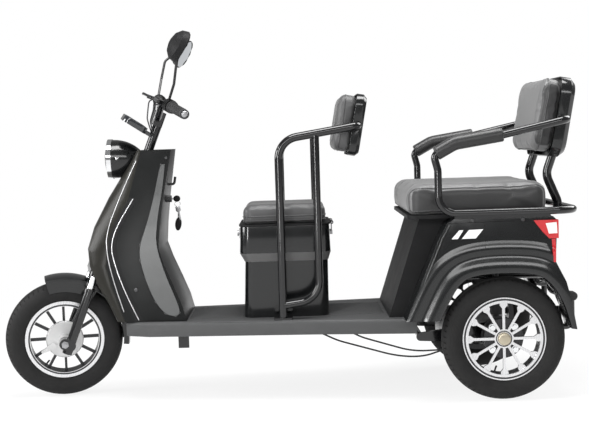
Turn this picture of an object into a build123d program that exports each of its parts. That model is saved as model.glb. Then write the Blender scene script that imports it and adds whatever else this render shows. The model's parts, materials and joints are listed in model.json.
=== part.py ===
from build123d import *
import os
from math import cos, radians, sin, sqrt

# Passenger electric tricycle with a driver's seat box and a rear bench.
# Millimetres. The nose points to -X, the left side to -Y, up is +Z and the ground is Z = 0.
os.makedirs("parts", exist_ok=True)

# Common fits
running_gap = 0.3
overrun = 4.0
skin = 3.0

# Wheels
wheelbase = 1520.0
front_axle_x = -805.0
rear_axle_x = front_axle_x + wheelbase
rear_track = 590.0
tyre_radius = 206.0
tyre_width = 80.0
crown_half_width = 30.0
crown_drop = 9.0
bead_radius = 127.0
flange_radius = 138.5
rim_width = 54.0
flange_thickness = 3.5
barrel_thickness = 7.0
bulge_share = 0.42

# Steering head: the axis leans back, and the axle runs ahead of it
rake = 22
rest_turn = 12
axle_lead = 55.0

# Sides of the vehicle: left is -1, right is +1
sides = (("left", -1), ("right", 1))


def on(frame, plane):
    """A plane given in another frame's own directions."""
    return Plane(frame.location * plane.location)


def bent_tube(points, bends, radius, frame=Plane.XY):
    """A round bar along straight runs and tangent bends, added to the open part."""
    with BuildLine(frame) as route:
        FilletPolyline(*points, radius=bends)
    with BuildSketch(Plane(route.wire() @ 0, z_dir=route.wire() % 0)) as disc:
        Circle(radius)
    sweep(sections=disc.sketch, path=route.wire())


def mirrored(points):
    """The same route on the other side of the vehicle."""
    return [(x, -y, z) for x, y, z in points]


# The steering frame: x runs back across the axis, y to the right, z up along the axis
head_back = Vector(cos(radians(rake)), 0, -sin(radians(rake)))
head_up = Vector(sin(radians(rake)), 0, cos(radians(rake)))
across = Vector(0, 1, 0)
steer_back = head_back * cos(radians(rest_turn)) + across * sin(radians(rest_turn))
steer_foot = Vector(front_axle_x, 0, tyre_radius) + head_back * axle_lead
steer = Plane(origin=steer_foot, x_dir=steer_back, z_dir=head_up)
straight = Plane(origin=steer_foot, x_dir=head_back, z_dir=head_up)

# Each wheel's own frame has its z along the axle, away from the vehicle's middle
front_hub = steer.origin - steer.x_dir * axle_lead
front_wheel = Plane(origin=front_hub, x_dir=steer.x_dir, z_dir=-steer.y_dir)
rear_wheels = [
    (
        name,
        side,
        Plane(
            origin=(rear_axle_x, side * rear_track / 2, tyre_radius),
            x_dir=(1, 0, 0),
            z_dir=(0, side, 0),
        ),
    )
    for name, side in sides
]
all_wheels = [("front", front_wheel)] + [(f"rear_{name}", hub) for name, _, hub in rear_wheels]


def half_section(hub):
    """The plane that holds a wheel's section: x is the radius, y runs along the axle."""
    return Plane(origin=hub.origin, x_dir=hub.x_dir, z_dir=-hub.y_dir)


# Tyres
for name, hub in all_wheels:
    half_rim = rim_width / 2
    shoulder = tyre_radius - crown_drop
    widest = flange_radius + bulge_share * (shoulder - flange_radius)
    with BuildPart() as tyre:
        with BuildSketch(half_section(hub)):
            with BuildLine():
                Polyline(
                    (flange_radius, -half_rim),
                    (bead_radius, -half_rim),
                    (bead_radius, half_rim),
                    (flange_radius, half_rim),
                )
                ThreePointArc(
                    (flange_radius, half_rim),
                    (widest, tyre_width / 2),
                    (shoulder, crown_half_width),
                )
                ThreePointArc(
                    (shoulder, crown_half_width),
                    (tyre_radius, 0),
                    (shoulder, -crown_half_width),
                )
                ThreePointArc(
                    (shoulder, -crown_half_width),
                    (widest, -tyre_width / 2),
                    (flange_radius, -half_rim),
                )
            make_face()
        revolve(axis=Axis(hub.origin, hub.z_dir))
    tyre.part.label = f"{name}_tyre"
    export_step(tyre.part, f"parts/{name}_tyre.step")

# Cast rims: columns are hub radius, hub half length, bore radius, spoke width at the hub, spoke
# width at the rim, spoke thickness, how far out the spokes' middle plane lies, the angle of the
# first spoke and the radius of the bolted web behind the spokes
axle_radius = 7.0
stub_radius = 10.0
rim_table = {
    "front": (40.0, 18.0, axle_radius + running_gap, 9.0, 9.0, 14.0, 0.0, rake, 0.0),
    "rear_left": (32.0, 24.0, stub_radius + running_gap, 9.0, 25.0, 9.0, 19.0, 0.0, 66.0),
    "rear_right": (32.0, 24.0, stub_radius + running_gap, 9.0, 25.0, 9.0, 19.0, 0.0, 66.0),
}
spoke_count = 12
web_thickness = 6.0
barrel_inner = bead_radius - barrel_thickness
flare_shares = (0.84, 0.93)
for name, hub in all_wheels:
    hub_radius, hub_half, bore, root_width, tip_width, thickness, lift, phase, web = rim_table[name]
    flange_out = rim_width / 2 + running_gap + flange_thickness
    flange_in = rim_width / 2 + running_gap
    barrel_outer = bead_radius - running_gap
    with BuildPart() as rim:
        with BuildSketch(half_section(hub)):
            with BuildLine():
                Polyline(
                    (barrel_inner, -flange_out),
                    (flange_radius, -flange_out),
                    (flange_radius, -flange_in),
                    (barrel_outer, -flange_in),
                    (barrel_outer, flange_in),
                    (flange_radius, flange_in),
                    (flange_radius, flange_out),
                    (barrel_inner, flange_out),
                    close=True,
                )
            make_face()
        revolve(axis=Axis(hub.origin, hub.z_dir))
        with BuildSketch(on(hub, Plane.XY.offset(-hub_half))):
            Circle(hub_radius)
        extrude(amount=2 * hub_half)
        spoke_edge = [
            (hub_radius - overrun, root_width / 2),
            (barrel_inner * flare_shares[0], root_width / 2),
            (barrel_inner * flare_shares[1], tip_width / 2),
            (barrel_inner + overrun / 2, tip_width / 2),
        ]
        with BuildSketch(on(hub, Plane.XY.offset(lift - thickness / 2))):
            with PolarLocations(0, spoke_count, start_angle=phase):
                Polygon(*[(x, -y) for x, y in spoke_edge], *spoke_edge[::-1], align=None)
        extrude(amount=thickness)
        if web:
            with BuildSketch(on(hub, Plane.XY.offset(lift - thickness / 2 - web_thickness))):
                Circle(web)
            extrude(amount=web_thickness)
        with BuildSketch(on(hub, Plane.XY.offset(-hub_half))):
            Circle(bore)
        extrude(amount=2 * hub_half, mode=Mode.SUBTRACT)
    rim.part.label = f"{name}_rim"
    export_step(rim.part, f"parts/{name}_rim.step")

# Brake drums behind the rear wheels turn with them
drum_radius = 60.0
drum_depth = 30.0
for name, side, hub in rear_wheels:
    drum_start = -rim_table[f"rear_{name}"][1] - drum_depth
    with BuildPart() as drum:
        with BuildSketch(on(hub, Plane.XY.offset(drum_start))):
            Circle(drum_radius)
            Circle(stub_radius + running_gap, mode=Mode.SUBTRACT)
        extrude(amount=drum_depth)
    drum.part.label = f"rear_{name}_drum"
    export_step(drum.part, f"parts/rear_{name}_drum.step")

# Fork: places across the steering frame
leg_offset = 37.0
leg_spread = 90.0
slider_radius = 17.0
stanchion_radius = 13.0
slider_low = -32.0
slider_high = 213.0
collar_height = 16.0
collar_proud = 2.0
crown_low = 258.0
crown_height = 24.0
leg_boss = 21.0
stem_boss = 26.0
stem_radius = 16.0
bar_height = 850.0
bar_back = -12.0
clamp_half_width = 32.0
clamp_half_depth = 17.0
clamp_drop = 26.0
axle_free_end = 14.0
nut_length = 9.0
nut_radius = 13.0
axle_lug_radius = 20.0
leg_places = [(-leg_offset, s * leg_spread) for _, s in sides]

with BuildPart() as fork:
    for x, y in leg_places:
        with BuildSketch(on(steer, Plane.XY.offset(slider_high))):
            with Locations((x, y)):
                Circle(stanchion_radius)
        extrude(amount=crown_low - slider_high)
    with BuildSketch(on(steer, Plane.XY.offset(crown_low))):
        with Locations(*leg_places):
            Circle(leg_boss)
        with Locations((0, 0)):
            Circle(stem_boss)
        make_hull()
    extrude(amount=crown_height)
    stem_top = bar_height - clamp_drop
    with BuildSketch(on(steer, Plane.XY.offset(crown_low + crown_height))):
        Circle(stem_radius)
    extrude(amount=stem_top - crown_low - crown_height)
fork.part.label = "fork_stanchions"
export_step(fork.part, "parts/fork_stanchions.step")

with BuildPart() as sliders:
    lug_half = slider_radius
    for x, y in leg_places:
        with BuildSketch(on(steer, Plane.XY.offset(slider_low))):
            with Locations((x, y)):
                Circle(slider_radius)
        extrude(amount=slider_high - slider_low)
        with BuildSketch(on(steer, Plane.XY.offset(slider_high - collar_height))):
            with Locations((x, y)):
                Circle(slider_radius + collar_proud)
        extrude(amount=collar_height)
        with BuildSketch(on(steer, Plane.XZ.offset(-y))):
            with Locations((-axle_lead, 0), (-leg_offset, 0)):
                Circle(axle_lug_radius)
            make_hull()
        extrude(amount=lug_half, both=True)
    axle_bore_half = leg_spread + lug_half + overrun
    with BuildSketch(on(steer, Plane.XZ)):
        with Locations((-axle_lead, 0)):
            Circle(axle_radius)
    extrude(amount=axle_bore_half, both=True, mode=Mode.SUBTRACT)
sliders.part.label = "fork_sliders"
export_step(sliders.part, "parts/fork_sliders.step")

with BuildPart() as front_axle:
    lug_face = leg_spread + slider_radius
    with BuildSketch(on(steer, Plane.XZ)):
        with Locations((-axle_lead, 0)):
            Circle(axle_radius)
    extrude(amount=lug_face + nut_length + axle_free_end, both=True)
    for _, s in sides:
        with BuildSketch(on(steer, Plane.XZ.offset(-s * lug_face))):
            with Locations((-axle_lead, 0)):
                RegularPolygon(nut_radius, 6)
        extrude(amount=-s * nut_length)
front_axle.part.label = "front_axle"
export_step(front_axle.part, "parts/front_axle.step")

# Front brake: the plate covers the left side of the hub and is held by the fork
plate_radius = 66.0
plate_thickness = 10.0
plate_gap = 1.0
plate_boss = 21.0
plate_start = rim_table["front"][1] + plate_gap
brake_arm = [(-30.0, -34.0), (-58.0, -66.0)]
arm_pivot = 11.0
arm_thickness = 6.0
with BuildPart() as brake_plate:
    with BuildSketch(on(front_wheel, Plane.XY.offset(plate_start))):
        Circle(plate_radius)
    extrude(amount=plate_thickness)
    outwards = Axis(front_wheel.origin, front_wheel.z_dir)
    chamfer(brake_plate.edges().filter_by(GeomType.CIRCLE).sort_by(outwards)[-1], plate_thickness / 3)
    with BuildSketch(on(front_wheel, Plane.XY.offset(plate_start + plate_thickness))):
        Circle(plate_boss)
    extrude(amount=leg_spread - slider_radius - plate_start - plate_thickness - running_gap)
    with BuildSketch(on(front_wheel, Plane.XY.offset(plate_start + plate_thickness))):
        with Locations(brake_arm[0]):
            Circle(arm_pivot)
        with Locations(brake_arm[1]):
            Circle(arm_pivot / 2)
        make_hull()
    extrude(amount=arm_thickness)
    with BuildSketch(on(front_wheel, Plane.XY.offset(plate_start))):
        Circle(axle_radius + running_gap)
    extrude(amount=leg_spread, mode=Mode.SUBTRACT)
brake_plate.part.label = "front_brake_plate"
export_step(brake_plate.part, "parts/front_brake_plate.step")

# Front mudguard: a U section turned about the front axle, columns of the section are radius
# and half width
guard_inner = 222.0
guard_wall = 3.0
guard_half_width = 52.0
guard_skirt = 18.0
guard_cheek = 46.0
guard_cheek_low = 175.0
guard_cheek_arc = 50
guard_front_angle = 15
guard_sweep = 112
guard_crown = 8.0
guard_boss = 8.0
guard_boss_height = 204.0
guard_outer = guard_inner + guard_wall
guard_turn = radians(rake + guard_front_angle)
guard_ahead = steer.z_dir * cos(guard_turn) - steer.x_dir * sin(guard_turn)
guard_start = Plane(origin=front_hub, x_dir=guard_ahead, z_dir=guard_ahead.cross(steer.y_dir))
with BuildPart() as front_guard:
    inner_half = guard_half_width - guard_wall
    skirt_radius = guard_outer - guard_skirt
    with BuildSketch(guard_start):
        with BuildLine():
            Line((skirt_radius, -guard_half_width), (guard_outer, -guard_half_width))
            ThreePointArc(
                (guard_outer, -guard_half_width),
                (guard_outer + guard_crown, 0),
                (guard_outer, guard_half_width),
            )
            Line((guard_outer, guard_half_width), (skirt_radius, guard_half_width))
            Line((skirt_radius, guard_half_width), (skirt_radius, inner_half))
            Line((skirt_radius, inner_half), (guard_inner, inner_half))
            ThreePointArc(
                (guard_inner, inner_half),
                (guard_inner + guard_crown, 0),
                (guard_inner, -inner_half),
            )
            Line((guard_inner, -inner_half), (skirt_radius, -inner_half))
            Line((skirt_radius, -inner_half), (skirt_radius, -guard_half_width))
        make_face()
    revolve(axis=Axis(front_hub, steer.y_dir), revolution_arc=guard_sweep)
    with BuildSketch(guard_start):
        for _, s in sides:
            with Locations((guard_cheek_low, s * guard_cheek)):
                Rectangle(
                    guard_inner - guard_cheek_low + guard_wall / 2,
                    2 * guard_wall,
                    align=(Align.MIN, Align.CENTER),
                )
    revolve(axis=Axis(front_hub, steer.y_dir), revolution_arc=guard_cheek_arc)
    for _, s in sides:
        with BuildSketch(on(steer, Plane.XZ.offset(-s * inner_half))):
            with Locations((-leg_offset, guard_boss_height)):
                Circle(guard_boss)
        extrude(amount=-s * (leg_spread - inner_half))
    with BuildSketch(on(steer, Plane.XY)):
        with Locations(*leg_places):
            Circle(slider_radius + collar_proud + running_gap)
    extrude(amount=crown_low, mode=Mode.SUBTRACT)
front_guard.part.label = "front_mudguard"
export_step(front_guard.part, "parts/front_mudguard.step")

# Handlebar: half of its centre line in the steering frame
bar_radius = 11.0
grip_radius = 16.0
grip_start = 222.0
grip_end = 342.0
bar_rise = 62.0
bar_sweep = 58.0
bar_shoulder = 122.0
bar_middle = 58.0
grip_slope = bar_sweep / (grip_end - bar_shoulder)
grip_height = bar_height + bar_rise
half_bar = [
    (bar_back, 0, bar_height),
    (bar_back, bar_middle, bar_height),
    (bar_back - bar_radius, bar_shoulder, grip_height),
    (bar_back - bar_radius + bar_sweep, grip_end, grip_height - bar_radius),
]
bar_bends = [45.0, 60.0]
whole_bar = mirrored(half_bar[:0:-1]) + half_bar[1:]
with BuildPart() as handlebar:
    bent_tube(whole_bar, bar_bends[::-1] + bar_bends, bar_radius, steer)
    with BuildSketch(on(steer, Plane.XY.offset(stem_top))):
        with Locations((bar_back / 2, 0)):
            RectangleRounded(2 * clamp_half_depth - bar_back / 2, 2 * clamp_half_width, clamp_half_depth / 2)
    extrude(amount=2 * clamp_drop)
handlebar.part.label = "handlebar"
export_step(handlebar.part, "parts/handlebar.step")

# Grips, switch housings and brake levers sit on the swept ends of the bar
grip_from = Vector(*half_bar[2])
grip_to = Vector(*half_bar[3])
grip_run = (grip_to - grip_from).normalized()
housing_radius = 23.0
housing_length = 34.0
housing_start = 62.0
grip_first = 104.0
lever_reach = 44.0
lever_height = 14.0
lever_root = 15.0
lever_radius = 5.0
lever_line = [(-36.0, 175.0, 59.0), (-50.0, 200.0, 61.0), (-64.0, 250.0, 63.0), (-58.0, 328.0, 61.0)]
lever_bends = [24.0, 90.0]
end_cap = 4.0


def bar_station(side, along):
    """A plane across the bar's swept end, with z running outwards along it."""
    place = grip_from + grip_run * along
    start = steer.from_local_coords(Vector(place.X, side * place.Y, place.Z))
    ahead = steer.from_local_coords(
        Vector(place.X + grip_run.X, side * (place.Y + grip_run.Y), place.Z + grip_run.Z)
    )
    return Plane(origin=start, x_dir=steer.z_dir, z_dir=ahead - start)


for name, side in sides:
    grip_length = (grip_to - grip_from).length - grip_first
    with BuildPart() as grip:
        with BuildSketch(bar_station(side, grip_first)):
            Circle(grip_radius)
            Circle(bar_radius, mode=Mode.SUBTRACT)
        extrude(amount=grip_length)
        with BuildSketch(bar_station(side, grip_first + grip_length)):
            Circle(grip_radius)
        extrude(amount=end_cap)
    grip.part.label = f"grip_{name}"
    export_step(grip.part, f"parts/grip_{name}.step")

with BuildPart() as housings:
    for _, side in sides:
        with BuildSketch(bar_station(side, housing_start)):
            Circle(housing_radius)
            Circle(bar_radius, mode=Mode.SUBTRACT)
        extrude(amount=housing_length)
housings.part.label = "switch_housings"
export_step(housings.part, "parts/switch_housings.step")

with BuildPart() as levers:
    for _, side in sides:
        with BuildSketch(bar_station(side, housing_start - lever_root)):
            Circle(housing_radius - bar_radius / 2)
            Circle(bar_radius, mode=Mode.SUBTRACT)
        extrude(amount=lever_root)
        with BuildSketch(bar_station(side, housing_start - lever_root)):
            with BuildLine():
                Polyline(
                    (-lever_height / 2, -side * bar_radius),
                    (-lever_height / 2, -side * lever_reach),
                    (lever_height / 2, -side * lever_reach),
                    (lever_height / 2, -side * bar_radius),
                    close=True,
                )
            make_face()
        extrude(amount=lever_root)
        blade = [(x, side * y, bar_height + z) for x, y, z in lever_line]
        bent_tube(blade, lever_bends, lever_radius, steer)
levers.part.label = "brake_levers"
export_step(levers.part, "parts/brake_levers.step")

# Deck: a moulded footboard, columns of the half plan are x and half width
deck_top = 276.0
deck_depth = 50.0
deck_wall = 5.0
rib_height = 3.0
rib_width = 8.0
rib_pitch = 24.0
rib_front = -344.0
rib_rear = 330.0
deck_front = -562.0
deck_rear = 430.0
deck_plan = [
    (deck_front, 148.0),
    (-480.0, 186.0),
    (-200.0, 214.0),
    (80.0, 238.0),
    (deck_rear, 283.0),
]
frame_half = 130.0
frame_radius = 15.0
down_tube_x = -456.0
down_radius = 14.0
down_slot = 56.0
deck_low = deck_top - deck_depth
deck_round = 11.0
box_foot = (-153.0, 141.0, 146.0)
wheel_sweep = 192.0

with BuildPart() as floor_deck:
    with BuildSketch(Plane.XY.offset(deck_low)):
        with BuildLine():
            Polyline(*deck_plan, *[(x, -w) for x, w in reversed(deck_plan)], close=True)
        make_face()
    extrude(amount=deck_depth)
    fillet(floor_deck.faces().sort_by(Axis.Z)[-1].edges(), deck_round)
    with BuildSketch(Plane.XY.offset(deck_low)):
        with BuildLine():
            Polyline(*deck_plan, *[(x, -w) for x, w in reversed(deck_plan)], close=True)
        make_face()
        offset(amount=-deck_wall, kind=Kind.INTERSECTION)
    extrude(amount=deck_depth - deck_wall, mode=Mode.SUBTRACT)
    rib_count = int(2 * deck_plan[0][1] / rib_pitch)
    with BuildSketch(Plane.XY.offset(deck_top)):
        with Locations(((rib_front + rib_rear) / 2, 0)):
            with GridLocations(0, rib_pitch, 1, rib_count):
                Rectangle(rib_rear - rib_front, rib_width)
        with Locations(((box_foot[0] + box_foot[1]) / 2, 0)):
            Rectangle(
                box_foot[1] - box_foot[0] + 2 * rib_height,
                2 * (box_foot[2] + rib_height),
                mode=Mode.SUBTRACT,
            )
    extrude(amount=rib_height)
    with BuildSketch(on(straight, Plane.XY)):
        Circle(wheel_sweep)
    extrude(amount=wheel_sweep, both=True, mode=Mode.SUBTRACT)
    with BuildSketch(Plane.XY.offset(deck_low)):
        with Locations((deck_rear, 0)):
            Rectangle(4 * deck_wall, 2 * (frame_half + frame_radius + overrun))
    extrude(amount=deck_depth - deck_wall, mode=Mode.SUBTRACT)
    with BuildSketch(Plane.XY.offset(deck_low)):
        with Locations((down_tube_x, 0)):
            RectangleRounded(down_slot, 2 * (down_radius + overrun), down_radius)
    extrude(amount=deck_depth + rib_height, mode=Mode.SUBTRACT)
floor_deck.part.label = "floor_deck"
export_step(floor_deck.part, "parts/floor_deck.step")

# Front cowl and leg shield: one moulded form, columns of its level sections are height, tip,
# corner x and half width, seam x and half width, rear x and half width
shield_table = [
    (866.0, -518.0, -512.0, 46.0, -498.0, 74.0, -392.0, 84.0),
    (702.0, -625.0, -612.0, 72.0, -542.0, 118.0, -420.0, 128.0),
    (600.0, -680.0, -664.0, 95.0, -584.0, 134.0, -434.0, 150.0),
    (527.0, -703.0, -689.0, 112.0, -617.0, 142.0, -440.0, 160.0),
    (470.0, -698.0, -684.0, 124.0, -625.0, 147.0, -421.0, 166.0),
    (400.0, -670.0, -657.0, 130.0, -606.0, 152.0, -392.0, 172.0),
    (330.0, -630.0, -618.0, 134.0, -582.0, 156.0, -364.0, 176.0),
    (deck_top, -606.0, -594.0, 136.0, -564.0, 158.0, -350.0, 178.0),
]
corner_bulge = 7.0
column_hole = 34.0
crown_room = 126.0
guard_room = 152.0
crown_space = 8.0
crown_room_height = crown_low + crown_height + crown_space
guard_room_height = 150.0


def shield_section(inset, low):
    """The outline of one level section of the shield, drawn in by a wall."""
    _, tip, corner_x, corner_y, seam_x, seam_y, rear_x, rear_y = low
    tip, corner_x, rear_x = tip + inset, corner_x + inset, rear_x - inset
    corner_y, seam_y, rear_y = corner_y - inset, seam_y - inset, rear_y - inset
    mid_x = (corner_x + seam_x) / 2 - corner_bulge
    mid_y = (corner_y + seam_y) / 2 + corner_bulge / 2
    with BuildLine() as outline:
        ThreePointArc((corner_x, -corner_y), (tip, 0), (corner_x, corner_y))
        ThreePointArc((corner_x, corner_y), (mid_x, mid_y), (seam_x, seam_y))
        Line((seam_x, seam_y), (rear_x, rear_y))
        Line((rear_x, rear_y), (rear_x, -rear_y))
        Line((rear_x, -rear_y), (seam_x, -seam_y))
        ThreePointArc((seam_x, -seam_y), (mid_x, -mid_y), (corner_x, -corner_y))
    return outline.edges()


with BuildPart() as shield_form:
    for row in shield_table:
        with BuildSketch(Plane.XY.offset(row[0])):
            make_face(shield_section(0, row))
    loft(ruled=True)

with BuildPart() as shield_inside:
    for row in shield_table:
        lid = skin if row is shield_table[0] else 0
        low = overrun if row is shield_table[-1] else 0
        with BuildSketch(Plane.XY.offset(row[0] - lid - low)):
            make_face(shield_section(skin, row))
    loft(ruled=True)

# Room for the column, the fork crown and the mudguard as they turn
with BuildPart() as steering_room:
    with BuildSketch(straight):
        Circle(crown_room)
    extrude(amount=crown_room_height)
    with BuildSketch(straight):
        Circle(guard_room)
    extrude(amount=guard_room_height)
    with BuildSketch(straight):
        Circle(column_hole)
    extrude(amount=bar_height)

# The nose and the leg shield meet at a seam that runs down each side
seam_line = [(row[4], row[0]) for row in shield_table]
nose_reach = min(row[1] for row in shield_table) - overrun
seam_top = shield_table[0][0] + overrun
seam_foot = shield_table[-1][0] - overrun
with BuildPart() as nose_zone:
    with BuildSketch(Plane.XZ):
        with BuildLine():
            Polyline(
                (nose_reach, seam_top),
                (seam_line[0][0], seam_top),
                *seam_line,
                (seam_line[-1][0], seam_foot),
                (nose_reach, seam_foot),
                close=True,
            )
        make_face()
    extrude(amount=2 * shield_table[-1][7], both=True)

with BuildPart() as front_cowl:
    add(shield_form.part)
    add(shield_inside.part, mode=Mode.SUBTRACT)
    add(steering_room.part, mode=Mode.SUBTRACT)
    add(nose_zone.part, mode=Mode.INTERSECT)
front_cowl.part.label = "front_cowl"
export_step(front_cowl.part, "parts/front_cowl.step")

with BuildPart() as leg_shield:
    add(shield_form.part)
    add(shield_inside.part, mode=Mode.SUBTRACT)
    add(steering_room.part, mode=Mode.SUBTRACT)
    add(nose_zone.part, mode=Mode.SUBTRACT)
leg_shield.part.label = "leg_shield"
export_step(leg_shield.part, "parts/leg_shield.step")

# Headlight: bowl, chrome ring and lens about a level axis, its back let into the cowl
lamp_height = 837.0
lamp_radius = 68.0
lamp_ring_x = -606.0
lamp_back_x = -505.0
lamp_back_radius = 26.0
lamp_wall = 2.5
ring_depth = 16.0
ring_lip = 6.0
lens_depth = 12.0
lamp_bulge_share = 0.72
lamp_axis = Plane(origin=(lamp_ring_x, 0, lamp_height), x_dir=(0, 0, 1), z_dir=(-1, 0, 0))
lamp_section = Plane(origin=lamp_axis.origin, x_dir=(0, 0, 1), z_dir=(0, 1, 0))
lamp_depth = lamp_back_x - lamp_ring_x
with BuildPart() as headlight_bowl:
    with BuildSketch(lamp_section):
        with BuildLine():
            Line((0, 0), (lamp_radius, 0))
            ThreePointArc(
                (lamp_radius, 0),
                (lamp_radius * lamp_bulge_share, lamp_depth * lamp_bulge_share),
                (lamp_back_radius, lamp_depth),
            )
            Line((lamp_back_radius, lamp_depth), (0, lamp_depth))
            Line((0, lamp_depth), (0, 0))
        make_face()
    revolve(axis=Axis(lamp_axis.origin, lamp_axis.z_dir))
    add(shield_form.part, mode=Mode.SUBTRACT)
headlight_bowl.part.label = "headlight_bowl"
export_step(headlight_bowl.part, "parts/headlight_bowl.step")

with BuildPart() as headlight_ring:
    with BuildSketch(lamp_axis):
        Circle(lamp_radius + lamp_wall)
        Circle(lamp_radius - ring_lip, mode=Mode.SUBTRACT)
    extrude(amount=ring_depth)
headlight_ring.part.label = "headlight_ring"
export_step(headlight_ring.part, "parts/headlight_ring.step")

lens_radius = lamp_radius - ring_lip - running_gap
lens_curve = (lens_radius**2 + lens_depth**2) / (2 * lens_depth)
lens_mid = sqrt(lens_curve**2 - (lens_radius / 2) ** 2) - lens_curve + lens_depth
with BuildPart() as headlight_lens:
    with BuildSketch(lamp_section):
        with BuildLine():
            Line((0, 0), (lens_radius, 0))
            Line((lens_radius, 0), (lens_radius, -ring_depth))
            ThreePointArc(
                (lens_radius, -ring_depth),
                (lens_radius / 2, -ring_depth - lens_mid),
                (0, -ring_depth - lens_depth),
            )
            Line((0, -ring_depth - lens_depth), (0, 0))
        make_face()
    revolve(axis=Axis(lamp_axis.origin, lamp_axis.z_dir))
headlight_lens.part.label = "headlight_lens"
export_step(headlight_lens.part, "parts/headlight_lens.step")

# Driver's seat box: columns of its level sections are height, front x, rear x and half width
box_table = [
    (deck_top, *box_foot),
    (471.0, -145.0, 143.0, 148.0),
    (503.0, -162.0, 153.0, 158.0),
    (593.0, -158.0, 150.0, 156.0),
]
box_round = 34.0
box_wall = 4.0
box_floor = 4.0


def box_section(inset, row):
    """One rounded level section of the seat box, drawn in by a wall."""
    _, front, rear, half = row
    with Locations(((front + rear) / 2, 0)):
        RectangleRounded(rear - front - 2 * inset, 2 * (half - inset), box_round - inset)


with BuildPart() as box_form:
    for row in box_table:
        with BuildSketch(Plane.XY.offset(row[0])):
            box_section(0, row)
    loft(ruled=True)

with BuildPart() as seat_box:
    add(box_form.part)
    for row in box_table:
        lift = box_floor if row is box_table[0] else 0
        lift = overrun if row is box_table[-1] else lift
        with BuildSketch(Plane.XY.offset(row[0] + lift)):
            box_section(box_wall, row)
    loft(ruled=True, mode=Mode.SUBTRACT)
seat_box.part.label = "seat_box"
export_step(seat_box.part, "parts/seat_box.step")

# Latch on the front of the box
latch_plate = (6.0, 26.0, 34.0)
latch_height = 560.0
latch_stem = 5.0
latch_reach = 16.0
latch_front = box_table[-1][1]
with BuildPart() as seat_latch:
    with BuildSketch(Plane.XY.offset(latch_height - latch_plate[2] / 2)):
        with Locations((latch_front - latch_plate[0] / 2, 0)):
            Rectangle(2 * latch_plate[0], latch_plate[1])
    extrude(amount=latch_plate[2])
    with BuildSketch(Plane.YZ.offset(latch_front)):
        with Locations((0, latch_height)):
            Circle(latch_stem)
    extrude(amount=-latch_reach)
    with BuildSketch(Plane.YZ.offset(latch_front - latch_reach)):
        with Locations((0, latch_height)):
            Circle(2 * latch_stem)
    extrude(amount=latch_stem)
    add(box_form.part, mode=Mode.SUBTRACT)
seat_latch.part.label = "seat_latch"
export_step(seat_latch.part, "parts/seat_latch.step")

# Lid: a plate with a skirt over the box's rim, and the cushion on it; its hinge is at the back
lid_overhang = 4.0
lid_thickness = 6.0
lid_round = 36.0
lid_low = box_table[-1][0] + running_gap
lid_front = box_table[-1][1] - lid_overhang
lid_rear = box_table[-1][2] + lid_overhang
lid_half = box_table[-1][3] + lid_overhang
cushion_height = 62.0
cushion_round = 20.0
cushion_inset = 1.0
hinge_behind = 7.0
hinge_x = lid_rear + hinge_behind
hinge_pin = 3.0
hinge_play = 0.05
knuckle_radius = 6.0
knuckle_start = 42.0
knuckle_length = 22.0
leaf_low = 556.0
leaf_thickness = 2.0
lid_middle = (lid_front + lid_rear) / 2
lid_length = lid_rear - lid_front
with BuildPart() as lid_plate:
    with BuildSketch(Plane.XY.offset(lid_low)):
        with Locations((lid_middle, 0)):
            RectangleRounded(lid_length, 2 * lid_half, lid_round)
    extrude(amount=lid_thickness)
    for _, s in sides:
        with BuildSketch(Plane.XZ.offset(-s * knuckle_start)):
            with Locations((hinge_x, lid_low)):
                Circle(knuckle_radius)
            with Locations((hinge_x - knuckle_radius, lid_low + lid_thickness / 2)):
                Rectangle(2 * knuckle_radius, lid_thickness)
            with Locations((hinge_x, lid_low)):
                Circle(hinge_pin + hinge_play, mode=Mode.SUBTRACT)
        extrude(amount=-s * knuckle_length)
lid_plate.part.label = "seat_lid_plate"
export_step(lid_plate.part, "parts/seat_lid_plate.step")

with BuildPart() as seat_hinge:
    with BuildSketch(Plane.XZ):
        with Locations((hinge_x, lid_low)):
            Circle(hinge_pin)
    extrude(amount=knuckle_start + knuckle_length + hinge_pin, both=True)
    with BuildSketch(Plane.XZ):
        with Locations((hinge_x, lid_low)):
            Circle(knuckle_radius)
        with Locations((hinge_x, lid_low)):
            Rectangle(leaf_thickness, lid_low - leaf_low, align=(Align.CENTER, Align.MAX))
        with Locations(((lid_rear + hinge_x) / 2, leaf_low)):
            Rectangle(hinge_x - lid_rear + leaf_thickness, leaf_thickness)
    extrude(amount=knuckle_start - running_gap, both=True)
    with BuildSketch(Plane.XZ):
        with Locations(((lid_rear + hinge_x) / 2 - leaf_thickness, leaf_low)):
            Rectangle(2 * (hinge_x - lid_rear) + leaf_thickness, 2 * knuckle_radius)
    extrude(amount=knuckle_start - running_gap, both=True)
    add(seat_box.part, mode=Mode.SUBTRACT)
seat_hinge.part.label = "seat_hinge"
export_step(seat_hinge.part, "parts/seat_hinge.step")

cushion_low = lid_low + lid_thickness + running_gap
with BuildPart() as driver_cushion:
    with BuildSketch(Plane.XY.offset(cushion_low)):
        with Locations((lid_middle, 0)):
            RectangleRounded(lid_length - 2 * cushion_inset, 2 * (lid_half - cushion_inset), lid_round)
    extrude(amount=cushion_height)
    fillet(driver_cushion.faces().sort_by(Axis.Z)[-1].edges(), cushion_round)
driver_cushion.part.label = "driver_cushion"
export_step(driver_cushion.part, "parts/driver_cushion.step")

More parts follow.
